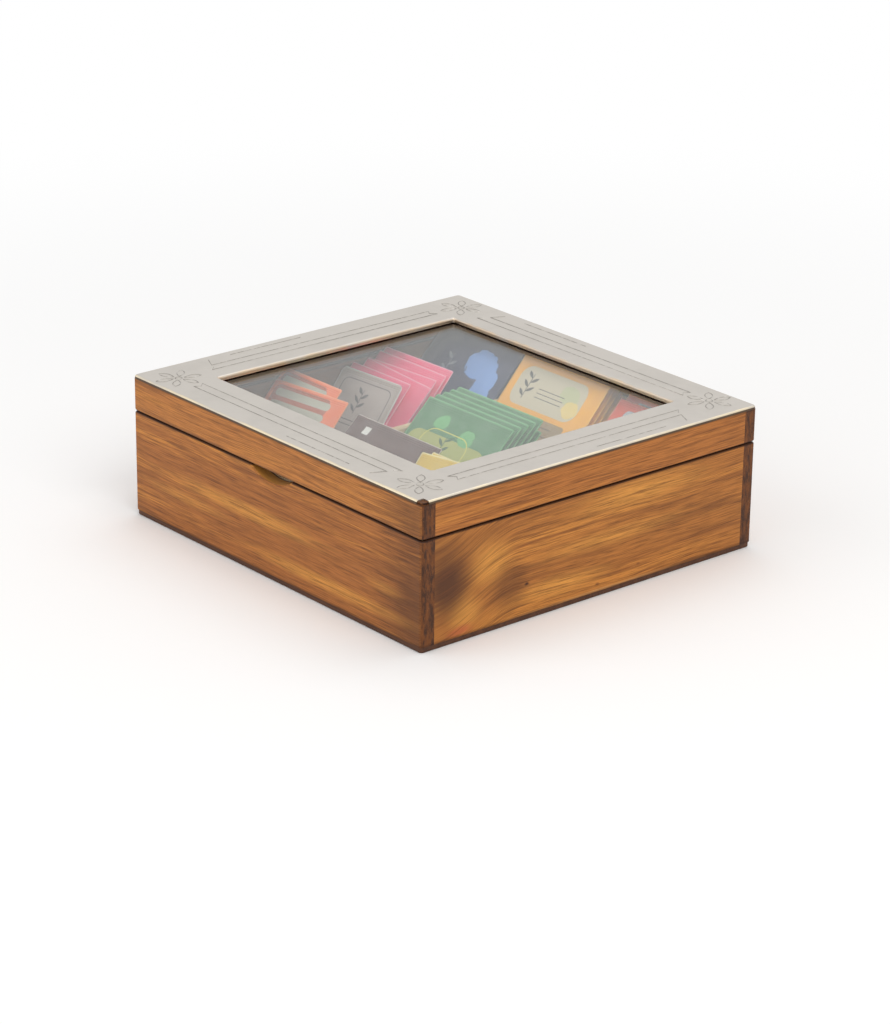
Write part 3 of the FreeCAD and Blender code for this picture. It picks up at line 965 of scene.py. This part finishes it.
class Pattern:
    """A Geometry Nodes tree under construction, with named inputs."""

    def __init__(self, name: str, **sizes: float) -> None:
        """Starts a tree.

        Args:
            name: the pattern.
            sizes: its inputs, with their values.
        """
        self.tree = bpy.data.node_groups.new(name, "GeometryNodeTree")
        self.sizes = sizes
        interface = self.tree.interface
        interface.new_socket("Geometry", in_out="INPUT", socket_type="NodeSocketGeometry")
        interface.new_socket("Geometry", in_out="OUTPUT", socket_type="NodeSocketGeometry")
        for key, value in sizes.items():
            kind = "NodeSocketInt" if isinstance(value, int) else "NodeSocketFloat"
            interface.new_socket(key, in_out="INPUT", socket_type=kind)
        self.start = self.tree.nodes.new("NodeGroupInput")
        self.end = self.tree.nodes.new("NodeGroupOutput")

    def add(
        self, kind: str, values: dict[int | str, object] | None = None, **settings: object
    ) -> bpy.types.Node:
        """Adds a node.

        Args:
            kind: the node's type.
            values: what its inputs hold, each a socket or a value, by name or number.
            settings: its properties.

        Returns:
            The node.
        """
        node = self.tree.nodes.new(kind)
        for key, value in settings.items():
            setattr(node, key, value)
        for key, value in (values or {}).items():
            feed(self.tree, node.inputs[key], value)
        return node

    def size(self, name: str) -> NodeSocket:
        """The socket of one of the tree's inputs."""
        return self.start.outputs[name]

    def times(self, first: object, second: object, how: str = "MULTIPLY") -> NodeSocket:
        """The product of two values, or what else the named operation gives."""
        return self.add("ShaderNodeMath", {0: first, 1: second}, operation=how).outputs[0]

    def vector(self, *parts: object) -> NodeSocket:
        """A vector from up to three parts."""
        return self.add("ShaderNodeCombineXYZ", dict(enumerate(parts))).outputs[0]

    def turn(self, *angles: object) -> NodeSocket:
        """A rotation from the angles about X, Y and Z."""
        return self.add("FunctionNodeEulerToRotation", {0: self.vector(*angles)}).outputs[0]

    def circle(self, radius: object, corners: int) -> NodeSocket:
        """A closed round path."""
        values = {"Resolution": corners, "Radius": radius}
        return self.add("GeometryNodeCurvePrimitiveCircle", values).outputs[0]

    def ridge(self, path: NodeSocket, closed_path: bool = False) -> NodeSocket:
        """A rod along a path, as thick as the input Ridge, capped where the path has ends."""
        values = {0: path, 1: self.circle(self.size("Ridge"), 8), "Fill Caps": not closed_path}
        return self.add("GeometryNodeCurveToMesh", values).outputs[0]

    def join(self, *parts: NodeSocket) -> NodeSocket:
        """Several geometries as one.

        Args:
            parts: the geometries.

        Returns:
            All of them.
        """
        node = self.add("GeometryNodeJoinGeometry")
        for part in parts:
            self.tree.links.new(part, node.inputs[0])
        return node.outputs[0]

    def copies(self, points: NodeSocket, part: NodeSocket, rotation: NodeSocket | None = None) -> NodeSocket:
        """The part set at each point, turned where a rotation is given.

        Args:
            points: where the copies go.
            part: what is copied.
            rotation: how the copies are turned.

        Returns:
            The copies.
        """
        values = {"Points": points, "Instance": part}
        if rotation is not None:
            values["Rotation"] = rotation
        return self.add("GeometryNodeInstanceOnPoints", values).outputs[0]

    def close(self, geometry: NodeSocket, material: Material) -> None:
        """Ends the tree with real geometry and its finish.

        Args:
            geometry: the finished geometry, with instances.
            material: its finish.
        """
        real = self.add("GeometryNodeRealizeInstances", {0: geometry})
        dressed = self.add("GeometryNodeSetMaterial", {"Geometry": real.outputs[0], "Material": material})
        self.tree.links.new(dressed.outputs[0], self.end.inputs[0])

    def run(self, carrier: Object, name: str) -> Object:
        """Evaluates the tree on a carrier and keeps the result as a plain mesh.

        Args:
            carrier: the object that brings the points or paths, which is used up.
            name: the finished piece.

        Returns:
            The piece.
        """
        modifier = carrier.modifiers.new(self.tree.name, "NODES")
        modifier.node_group = self.tree
        for item in self.tree.interface.items_tree:
            if item.in_out == "INPUT" and item.name in self.sizes:
                modifier[item.identifier] = self.sizes[item.name]
        evaluated = carrier.evaluated_get(bpy.context.evaluated_depsgraph_get())
        mesh = bpy.data.meshes.new_from_object(evaluated)
        bpy.data.objects.remove(carrier)
        mesh.name = name
        return stand(name, mesh)


# ---- Box, lid and hinges ----


@dataclass
class Rim:
    """The outline of the metal cover and of its window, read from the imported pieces."""

    margin_side: float = 30.3
    margin_front: float = 31.0
    margin_back: float = 29.0

    def __post_init__(self) -> None:
        """Measures the cover, and the window inside it."""
        low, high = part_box("metal_cover")
        self.half_width: float = (high[0] - low[0]) / 2 / MM
        self.half_depth: float = (high[1] - low[1]) / 2 / MM
        self.top: float = high[2] / MM
        self.window_half_width: float = self.half_width - self.margin_side
        self.window_half_depth: float = self.half_depth - (self.margin_front + self.margin_back) / 2
        self.window_middle: float = (self.margin_front - self.margin_back) / 2


@dataclass
class Case:
    """The box body: four boards, a bottom panel and the slotted dividers."""

    panel: PlainWood = PlainWood("panel_stain", (96, 62, 42), (66, 42, 30))
    divider: PlainWood = PlainWood("bare_wood", (206, 182, 148), (176, 146, 110))

    def build(self) -> None:
        """Dresses the body's pieces."""
        front = StainedWood("front_stain", Grain.ACROSS_FRONT, marks=FRONT_MARKS, seed=310.0)
        back = StainedWood("back_stain", Grain.ACROSS_FRONT, seed=90.0)
        sides = StainedWood(
            "side_stain", Grain.FRONT_TO_BACK, body=(166, 105, 48), marks=SIDE_MARKS,
            sweep=Sweep(-48.0, -104.0, 17.0), seed=520.0)
        dress(front.make(), "front_board")
        dress(back.make(), "back_board")
        dress(sides.make(), "left_board", "right_board")
        dress(self.panel.make(Grain.ACROSS_FRONT), "bottom_panel")
        dress(self.divider.make(Grain.ACROSS_FRONT), "long_divider_front", "long_divider_back")
        dress(self.divider.make(Grain.FRONT_TO_BACK), "cross_divider_left", "cross_divider_right")


@dataclass
class Ornament:
    """The pressed ornament of the cover: border lines on each side, a flower by each corner."""

    rim: Rim
    line_radius: float = 0.34
    line_sink: float = 0.14
    inner_line: float = 19.2
    outer_line: float = 13.2
    short_line: float = 5.6
    line_ends: tuple[float, float] = (-0.71, 0.67)
    short_ends: tuple[float, float] = (0.05, 0.47)
    slant: float = 3.0
    flower_in_x: float = 19.3
    flower_in_y: float = 14.6
    petals: int = 6
    petal_start: float = 3.0
    petal_length: float = 9.4
    petal_width: float = 3.9
    petal_belly: float = 0.56
    heart: float = 0.6
    first_turn: float = 0.3
    curve_steps: int = 12
    heart_corners: int = 20

    def _side_lines(self, half_run: float, half_across: float) -> list[list[tuple[float, float]]]:
        """The lines of one side, along X, with the outer edge at minus half_across.

        Args:
            half_run: half the side's length.
            half_across: from the cover's middle to the side's outer edge.

        Returns:
            The paths, as corners.
        """
        gaps = (self.inner_line, self.outer_line, self.short_line)
        inner, outer, short = (gap - half_across for gap in gaps)
        start, stop = (half_run * share for share in self.line_ends)
        tip = (inner + outer) / 2
        notch = (start + self.slant, tip)
        return [
            [notch, (start, inner), (stop, inner), (stop - self.slant, tip)],
            [notch, (start + 1.0, outer), (stop - 4.0, outer), (stop - 7.5, short)],
            [(half_run * share, short) for share in self.short_ends],
        ]

    def _paths(self) -> list[list[tuple[float, float]]]:
        """The lines of all four sides.

        Returns:
            Each line's corners.
        """
        paths = []
        for turn in range(4):
            half = (self.rim.half_width, self.rim.half_depth)
            run, across = half if turn % 2 == 0 else half[::-1]
            cosine, sine = round(math.cos(turn * math.pi / 2)), round(math.sin(turn * math.pi / 2))
            for path in self._side_lines(run, across):
                paths.append([(x * cosine - y * sine, x * sine + y * cosine) for x, y in path])
        return paths

    def lines(self, material: Material) -> Object:
        """Builds the border lines as low ridges that follow their paths.

        Args:
            material: the finish.

        Returns:
            The piece.
        """
        data = bpy.data.curves.new("border_paths", "CURVE")
        data.dimensions = "3D"
        height = (self.rim.top - self.line_sink) * MM
        for path in self._paths():
            spline = data.splines.new("POLY")
            spline.points.add(len(path) - 1)
            for point, (x, y) in zip(spline.points, path):
                point.co = (x * MM, y * MM, height, 1.0)
        pattern = Pattern("border_ridge", Ridge=self.line_radius * MM)
        pattern.close(pattern.ridge(pattern.size("Geometry")), material)
        return pattern.run(stand("border_paths", data), "pressed_lines")

    def flowers(self, material: Material) -> Object:
        """Builds a ring of outlined petals by each corner.

        Args:
            material: the finish.

        Returns:
            The piece.
        """
        height = (self.rim.top - self.line_sink) * MM
        x = (self.rim.half_width - self.flower_in_x) * MM
        y = (self.rim.half_depth - self.flower_in_y) * MM
        corners = np.array([(sx * x, sy * y, height) for sx in (-1, 1) for sy in (-1, 1)])
        carrier = mesh_piece("flower_places", corners, [], material)
        pattern = Pattern(
            "petal_ring", Petals=self.petals, Start=self.petal_start * MM, Length=self.petal_length * MM,
            Width=self.petal_width * MM, Ridge=self.line_radius * MM,
        )
        start, petals = pattern.size("Start"), pattern.size("Petals")
        tip = pattern.times(start, pattern.size("Length"), "ADD")
        middle = pattern.times(pattern.times(start, tip, "ADD"), self.petal_belly)
        sides = []
        for side in (-1.0, 1.0):
            belly = pattern.vector(middle, pattern.times(pattern.size("Width"), side))
            sides.append(pattern.add("GeometryNodeCurveQuadraticBezier", {
                "Resolution": self.curve_steps, "Start": pattern.vector(start), "Middle": belly,
                "End": pattern.vector(tip)}).outputs[0])
        petal = pattern.ridge(pattern.join(*sides))
        heart_path = pattern.circle(pattern.times(start, self.heart), self.heart_corners)
        heart = pattern.ridge(heart_path, closed_path=True)
        hub = pattern.add("GeometryNodePoints", {"Count": petals}).outputs[0]
        index = pattern.add("GeometryNodeInputIndex").outputs[0]
        spin = pattern.times(index, pattern.times(2 * math.pi, petals, "DIVIDE"))
        turn = pattern.turn(0.0, 0.0, pattern.times(spin, self.first_turn, "ADD"))
        bloom = pattern.join(pattern.copies(hub, petal, turn), heart)
        pattern.close(pattern.copies(pattern.size("Geometry"), bloom), material)
        return pattern.run(carrier, "pressed_flowers")


@dataclass
class Lid:
    """The lid: four rails, the window frame with its glass, and the metal cover."""

    rim: Rim
    metal: PressedMetal = PressedMetal("cover_metal")
    patina: Patina = Patina("pressed_patina")
    glass: WindowGlass = WindowGlass("window_glass")
    # The slats and glazing beads get a near-black brown: a dark stain, made darker as painted shade of the
    # recess under the window's edge.
    slat: PlainWood = PlainWood("slat_stain_and_shade", (70, 46, 30), (42, 28, 20))

    def build(self) -> None:
        """Dresses the lid and lays the ornament on its cover."""
        long_rail = StainedWood(
            "lid_front_stain", Grain.ACROSS_FRONT, body=(176, 113, 56), dark=(118, 70, 36),
            streaks=0.5, marks=FRONT_MARKS[:1], seed=700.0)
        side_rail = StainedWood(
            "lid_side_stain", Grain.FRONT_TO_BACK, body=(170, 106, 50), dark=(114, 66, 32),
            streaks=0.5, seed=880.0)
        for grain, rail, sides in (
            (Grain.ACROSS_FRONT, long_rail, ("front", "back")),
            (Grain.FRONT_TO_BACK, side_rail, ("left", "right")),
        ):
            dress(rail.make(), *(f"lid_rail_{side}" for side in sides))
            dark = self.slat.make(grain)
            for side in sides:
                dress(dark, f"window_slat_{side}", f"glazing_bead_{side}")
        dress(self.glass.make(), "glass_pane")
        dress(self.metal.make(self.rim), "metal_cover")
        ornament = Ornament(self.rim)
        patina = self.patina.make()
        deliver(ornament.lines(patina), "lid", "pressed_metal")
        deliver(ornament.flowers(patina), "lid", "pressed_metal")


@dataclass
class Hinges:
    """Two small butt hinges at the back, with their screws."""

    brass: Brass = Brass("hinge_brass_finish")
    screws: int = 3
    pitch: float = 7.2
    head_radius: float = 1.3
    head_height: float = 0.12
    slot_half: float = 0.17
    set_back: float = 2.6
    rim_corners: int = 24
    arc_corners: int = 7

    def _places(self, leaf: str, face: int) -> list[Point]:
        """Where the screws of one leaf sit.

        Args:
            leaf: the leaf's node.
            face: 1 on the leaf's upper face, 0 on its lower one.

        Returns:
            The middle of each head.
        """
        low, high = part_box(leaf)
        middle = (low[0] + high[0]) / 2
        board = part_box("back_board")[1][2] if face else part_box("lid_rail_back")[0][2]
        return [
            (middle + (i - (self.screws - 1) / 2) * self.pitch * MM, low[1] + self.set_back * MM, board)
            for i in range(self.screws)
        ]

    def _head(self, brass: Material) -> Object:
        """Builds one head: a disc under four quarters, which leave a cross slot between them.

        Args:
            brass: the finish.

        Returns:
            The head, at the origin.
        """
        radius, slot, height = self.head_radius, self.slot_half, self.head_height
        first, last = math.asin(slot / radius), math.acos(slot / radius)
        rim, arc = (
            [(radius * math.cos(t), radius * math.sin(t)) for t in angles]
            for angles in (
                np.linspace(0, 2 * math.pi, self.rim_corners + 1)[:-1],
                np.linspace(first, last, self.arc_corners)))
        quarter = [(slot, slot), *arc]
        prisms = [(rim, -height, height * 0.25)]
        for _ in range(4):
            prisms.append((quarter, -height * 0.5, height))
            quarter = [(-y, x) for x, y in quarter]
        points: list[Point] = []
        faces: list[list[int]] = []
        for outline, low, high in prisms:
            count, start = len(outline), len(points)
            points += [(x, y, z) for z in (low, high) for x, y in outline]
            faces.append(list(range(start + count - 1, start - 1, -1)))
            faces.append(list(range(start + count, start + 2 * count)))
            for i in range(count):
                j = (i + 1) % count
                faces.append([start + i, start + j, start + count + j, start + count + i])
        return mesh_piece("screw_head", np.array(points) * MM, faces, brass)

    def _heads(
        self, name: str, places: Sequence[Point], brass: Material, turn: float
    ) -> Object:
        """Sets a head at each place.

        Args:
            name: the finished piece.
            places: the middle of each head.
            brass: the finish.
            turn: how far the heads are turned over, 0 to look up and pi to look down.

        Returns:
            The heads as one piece.
        """
        head = self._head(brass)
        carrier = mesh_piece(name + "_places", np.array(places), [], brass)
        pattern = Pattern(name + "_pattern", Turn=turn)
        source = pattern.add("GeometryNodeObjectInfo", {"Object": head}).outputs["Geometry"]
        heads = pattern.copies(pattern.size("Geometry"), source, pattern.turn(pattern.size("Turn")))
        pattern.close(heads, brass)
        piece = pattern.run(carrier, name)
        bpy.data.objects.remove(head)
        return piece

    def build(self) -> None:
        """Dresses the hinges and sets their screws."""
        brass = self.brass.make()
        for kind in ("body_leaf", "lid_leaf", "hinge_pin"):
            dress(brass, f"{kind}_left", f"{kind}_right")
        for leaf, face, body, turn in (("body_leaf", 1, "case", 0.0), ("lid_leaf", 0, "lid", math.pi)):
            places = [p for side in ("left", "right") for p in self._places(f"{leaf}_{side}", face)]
            deliver(self._heads(f"{leaf}_screws", places, brass, turn), body, "hinge_brass")


# ---- Wrapped tea bags ----


@dataclass(frozen=True)
class Pose:
    """Where a packet lies: its middle, its axes as rows, and its sizes, in metres."""

    middle: np.ndarray
    axes: np.ndarray
    sizes: np.ndarray


def loose_parts(mesh: bpy.types.Mesh) -> list[tuple[np.ndarray, np.ndarray]]:
    """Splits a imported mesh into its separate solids.

    Args:
        mesh: loose triangles.

    Returns:
        The corners and the triangles of each solid.
    """
    points = np.array([v.co for v in mesh.vertices], float)
    _, merged = np.unique(np.round(points, 7), axis=0, return_inverse=True)
    merged = merged.ravel()
    triangles = merged[np.array([p.vertices[:] for p in mesh.polygons])]
    label = np.arange(merged.max() + 1)
    while True:
        least = label[triangles].min(axis=1)
        before = label.copy()
        for corner in range(3):
            np.minimum.at(label, triangles[:, corner], least)
        if (label == before).all():
            break
    corners = np.zeros((label.size, 3))
    corners[merged] = points
    groups = label[triangles[:, 0]]
    return [(corners, triangles[groups == g]) for g in sorted(set(groups), key=lambda g: corners[g][2])]


def pose_of(corners: np.ndarray, triangles: np.ndarray) -> Pose:
    """Reads how a packet lies from its flat faces.

    Args:
        corners: the mesh's points.
        triangles: the packet's faces.

    Returns:
        Its place, with axes to the right, up the packet, and out of its front.
    """
    a, b, c = (corners[triangles[:, i]] for i in range(3))
    normals = np.cross(b - a, c - a)
    areas = np.linalg.norm(normals, axis=1)
    flat = normals / np.maximum(areas, 1e-15)[:, None]
    shares = [areas[(flat @ flat[i]) > 0.9999].sum() for i in range(len(flat))]
    out = flat[int(np.argmax(shares))]
    out = out if out[1] < 0 else -out
    upright = np.abs(flat @ out) < 1e-3
    sideways = np.where(upright, np.abs(flat[:, 0]) * areas * (np.abs(flat[:, 0]) > 0.9), 0)
    right = flat[int(np.argmax(sideways))]
    right = right if right[0] > 0 else -right
    right = right - out * (right @ out)
    right /= np.linalg.norm(right)
    up = np.cross(out, right)
    axes = np.stack([right, up, out])
    used = corners[np.unique(triangles)] @ axes.T
    low, high = used.min(axis=0), used.max(axis=0)
    return Pose(((low + high) / 2) @ axes, axes, high - low)


@dataclass
class Packet:
    """One sealed paper packet with a tea bag in it."""

    seal: float = 4.4
    slope: float = 8.0
    sheet: float = 0.36
    across: int = 30
    along: int = 32
    lumps: int = 7
    lump_width: tuple[float, float] = (9.0, 26.0)
    creases: int = 3
    crease_width: float = 1.6
    crease_depth: tuple[float, float] = (0.1, 0.3)
    curl: float = 0.12
    crowding: float = 1.25
    fullness: float = 0.80
    lump_share: float = 0.18
    crease_share: float = 0.22

    def _steps(self, count: int) -> np.ndarray:
        """Steps from -1 to 1, closer together towards both ends."""
        even = np.linspace(-1, 1, count)
        return np.sign(even) * (1 - (1 - np.abs(even)) ** self.crowding)

    def _grid(self, width: float, height: float, corner: float) -> tuple[np.ndarray, np.ndarray]:
        """Level places of the face's grid points, denser at the seals.

        Args:
            width: across the packet.
            height: from foot to top.
            corner: the rounding of its corners.

        Returns:
            The x and y of each point, from the middle.
        """
        x, y = np.meshgrid(self._steps(self.across) * width / 2, self._steps(self.along) * height / 2)
        dx = np.abs(x) - (width / 2 - corner)
        dy = np.abs(y) - (height / 2 - corner)
        reach = np.hypot(dx, dy)
        out = (dx > 0) & (dy > 0) & (reach > corner)
        share = np.where(out, corner / np.maximum(reach, 1e-9), 1.0)
        x = np.where(out, np.sign(x) * (width / 2 - corner + dx * share), x)
        y = np.where(out, np.sign(y) * (height / 2 - corner + dy * share), y)
        return x, y

    def _swell(
        self, x: np.ndarray, y: np.ndarray, sizes: np.ndarray, rng: np.random.Generator
    ) -> np.ndarray:
        """How far the face stands out: flat seals, a soft bag, and a few creases.

        Args:
            x: the points' places across, from the middle.
            y: their places up, from the middle.
            sizes: the packet's width, height and thickness.
            rng: chooses the lumps and creases.

        Returns:
            Each point's height over the packet's middle plane.
        """
        width, height, thick = sizes
        edge = np.minimum(width / 2 - np.abs(x), height / 2 - np.abs(y))
        rise = np.clip((edge - self.seal) / self.slope, 0, 1)
        rise = rise * rise * (3 - 2 * rise)
        lumps = np.zeros_like(x)
        for _ in range(self.lumps):
            angle, phase = rng.uniform(0, 2 * math.pi, 2)
            wave = rng.uniform(*self.lump_width)
            across = x * math.cos(angle) + y * math.sin(angle)
            lumps += np.sin(across * 2 * math.pi / wave + phase) / self.lumps
        crease = np.zeros_like(x)
        for _ in range(self.creases):
            angle = rng.uniform(0, math.pi)
            offset = rng.uniform(-0.35, 0.35) * width
            away = np.abs(x * math.cos(angle) + y * math.sin(angle) - offset)
            crease += np.exp(-((away / self.crease_width) ** 2)) * rng.uniform(*self.crease_depth)
        filling = self.fullness + self.lump_share * lumps - self.crease_share * crease
        return np.maximum(self.sheet / 2, thick / 2 * rise * filling)

    def mesh(
        self, pose: Pose, corner: float, seed: int
    ) -> tuple[np.ndarray, list[list[int]], np.ndarray]:
        """The packet's closed mesh in its place.

        Args:
            pose: where it lies and how large it is.
            corner: the rounding of its corners, in millimetres.
            seed: chooses its lumps and creases.

        Returns:
            Points in metres, faces, and each point's place on the print.
        """
        rng = np.random.default_rng(seed)
        width, height, _ = sizes = pose.sizes / MM
        x, y = self._grid(width, height, corner)
        curl = self.curl * np.sin(y / height * math.pi * 2 + seed)
        points, prints = [], []
        for side in (1, -1):
            z = side * self._swell(x, y, sizes, rng) + curl * (np.abs(x) / width)
            points.append(np.stack([x, y, z], axis=-1).reshape(-1, 3))
            prints.append(np.stack([x / width + 0.5, y / height + 0.5], axis=-1).reshape(-1, 2))
        local = np.concatenate(points) * MM
        rows, cols = self.along, self.across
        index = np.arange(rows * cols).reshape(rows, cols)
        squares = [index[:-1, :-1], index[:-1, 1:], index[1:, 1:], index[1:, :-1]]
        front = np.stack(squares, axis=-1).reshape(-1, 4)
        faces = front.tolist() + (front[:, ::-1] + rows * cols).tolist()
        ring = [*index[0, :-1], *index[:-1, -1], *index[-1, :0:-1], *index[:0:-1, 0]]
        for first, second in zip(ring, ring[1:] + ring[:1]):
            faces.append([first, first + rows * cols, second + rows * cols, second])
        return pose.middle + local @ pose.axes, faces, np.concatenate(prints)


@dataclass
class TeaBags:
    """The packets in all the compartments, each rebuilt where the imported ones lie."""

    packet: Packet = field(default_factory=Packet)
    rounded: dict[str, float] = field(default_factory=lambda: {"silver": 3.0})
    print_size: tuple[float, float] = (66.0, 71.0)
    own_print: dict[str, tuple[float, float]] = field(default_factory=lambda: {
        "pink": (55.0, 70.0), "silver": (48.0, 69.0), "striped": (58.0, 71.0), "yellow": (60.0, 70.0)})
    corner: float = 0.8

    def _piece(self, node: str, tea: str, material: Material) -> Object:
        """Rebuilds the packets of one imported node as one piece.

        Args:
            node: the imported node.
            tea: which tea it holds.
            material: its paper.

        Returns:
            The piece.
        """
        points, faces, prints, count = [], [], [], 0
        seed = sum(ord(letter) * (i + 1) for i, letter in enumerate(node))
        for number, (corners, triangles) in enumerate(loose_parts(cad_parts[node].data)):
            pose = pose_of(corners, triangles)
            corner = self.rounded.get(tea, self.corner)
            placed, sides, on_print = self.packet.mesh(pose, corner, seed + number)
            faces += [[index + count for index in side] for side in sides]
            points.append(placed)
            prints.append(on_print)
            count += len(placed)
        piece = mesh_piece(node + "_paper", np.concatenate(points), faces, material)
        layer = piece.data.uv_layers.new(name=PACKET_MAP)
        spots = np.concatenate(prints)[[loop.vertex_index for loop in piece.data.loops]]
        layer.data.foreach_set("uv", spots.astype(np.float32).ravel())
        piece.data.polygons.foreach_set("use_smooth", [True] * len(piece.data.polygons))
        return piece

    def build(self) -> None:
        """Builds every packet, in its tea's paper."""
        for tea, paper in PAPERS.items():
            material = paper.make(*self.own_print.get(tea, self.print_size))
            for node in sorted(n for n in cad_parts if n.startswith(f"{tea}_tea_")):
                deliver(self._piece(node, tea, material), "case", f"{tea}_paper", node)


# ---- Studio ----


@dataclass(frozen=True)
class Lamp:
    """A soft square light that looks at the box."""

    name: str
    place: Point
    side: float
    watts: float
    colour: tuple[float, float, float] = (1.0, 1.0, 1.0)


@dataclass
class Studio:
    """A pale floor, soft light all round, and the camera."""

    lamps: tuple[Lamp, ...] = (
        Lamp("key", (1.5, -0.4, 1.5), 1.4, 15.0, (1.0, 0.97, 0.93)),
        Lamp("fill", (-0.6, -1.6, 1.0), 1.6, 8.0),
        Lamp("top", (-0.2, 0.5, 1.8), 1.6, 8.0),
    )
    surround: float = 0.56
    mirrored: float = 0.8
    eye: Point = (1.19669, -1.01407, 0.62583)
    yaw: float = 139.64
    pitch: float = -21.44
    roll: float = 0.73
    lens: float = 116.05
    sensor: float = 36.0
    near: float = 0.05
    floor_half: float = 6.0
    floor_fade: tuple[float, float] = (230.0, 800.0)

    def _seen(self, tree: NodeTree) -> Field:
        """How far a ray shows the backdrop: fully to the eye and through glass, less to metal.

        Args:
            tree: the tree that asks.

        Returns:
            The share of white that the ray sees.
        """
        ray = tree.nodes.new("ShaderNodeLightPath")
        shares = {"Is Camera Ray": 1.0, "Is Transmission Ray": 1.0, "Is Glossy Ray": self.mirrored}
        seen = [Field(tree, ray.outputs[name]) * share for name, share in shares.items()]
        return seen[0].most(seen[1]).most(seen[2])

    def _floor(self) -> None:
        """A white floor that keeps the box's shadow and runs into the white surround."""
        bench = Bench("floor_white", 0.9, Specular_IOR_Level=0.0)
        x, y, _ = bench.place()
        glow = bench.tree.nodes.new("ShaderNodeEmission")
        share = distance(x, y).ramp(*self.floor_fade) * self._seen(bench.tree)
        bench.cover(share, glow.outputs[0])
        bench.shader.inputs["Base Color"].default_value = (0.98, 0.98, 0.98, 1.0)
        corners = np.array([(-1, -1, 0), (1, -1, 0), (1, 1, 0), (-1, 1, 0)]) * self.floor_half
        mesh_piece("floor", corners, [(0, 1, 2, 3)], bench.material)

    def _world(self) -> None:
        """An even surround, white to the eye, to metal and to glass."""
        world = bpy.data.worlds.new("surround")
        world.use_nodes = True
        back = world.node_tree.nodes["Background"].inputs
        strength = self._seen(world.node_tree) * (1.0 - self.surround) + self.surround
        feed(world.node_tree, back["Strength"], strength)
        feed(world.node_tree, back["Color"], (1.0, 1.0, 1.0, 1.0))
        bpy.context.scene.world = world

    @staticmethod
    def _turn(piece: Object, axes: Sequence[np.ndarray], place: Sequence[float]) -> None:
        """Gives an object its own X, Y and Z axes and its place, in metres."""
        rows = [[*row, p] for row, p in zip(np.stack(axes, axis=1), place)]
        piece.matrix_world = Matrix(rows + [[0, 0, 0, 1]])

    def _light(self, lamp: Lamp) -> None:
        """Hangs one lamp, turned to the box.

        Args:
            lamp: its place, size and strength.
        """
        data = bpy.data.lights.new(lamp.name, "AREA")
        data.size = lamp.side
        data.energy = lamp.watts
        data.color = lamp.colour
        place = np.array(lamp.place)
        away = place / np.linalg.norm(place)
        right = np.cross((0.0, 0.0, 1.0), away)
        right /= np.linalg.norm(right)
        self._turn(stand(lamp.name, data), (right, np.cross(away, right), away), place)

    def _camera(self) -> None:
        """Sets the camera at its place, level but for a slight roll."""
        data = bpy.data.cameras.new("camera")
        data.lens = self.lens
        data.sensor_width = self.sensor
        data.sensor_fit = "AUTO"
        data.clip_start = self.near
        yaw, pitch, roll = (math.radians(a) for a in (self.yaw, self.pitch, self.roll))
        level = math.cos(pitch)
        ahead = np.array([level * math.cos(yaw), level * math.sin(yaw), math.sin(pitch)])
        side = np.cross(ahead, (0.0, 0.0, 1.0))
        side /= np.linalg.norm(side)
        over = np.cross(side, ahead)
        right = math.cos(roll) * side + math.sin(roll) * over
        up = math.cos(roll) * over - math.sin(roll) * side
        piece = stand("camera", data)
        self._turn(piece, (right, up, -ahead), self.eye)
        bpy.context.scene.camera = piece

    def build(self) -> None:
        """Sets up the floor, the surround, the lamps and the camera."""
        bpy.context.scene.view_settings.view_transform = "Standard"
        self._floor()
        self._world()
        for lamp in self.lamps:
            self._light(lamp)
        self._camera()


def main() -> None:
    """Builds and dresses the box, its lid, its hinges and its contents."""
    logging.basicConfig(level=logging.INFO, format="%(name)s: %(message)s")
    rim = Rim()
    steps: tuple[Callable[[], None], ...] = (
        Case().build, Lid(rim).build, Hinges().build, TeaBags().build, Studio().build)
    for step in steps:
        step()
    bpy.context.view_layer.update()


if __name__ == "__main__":
    main()
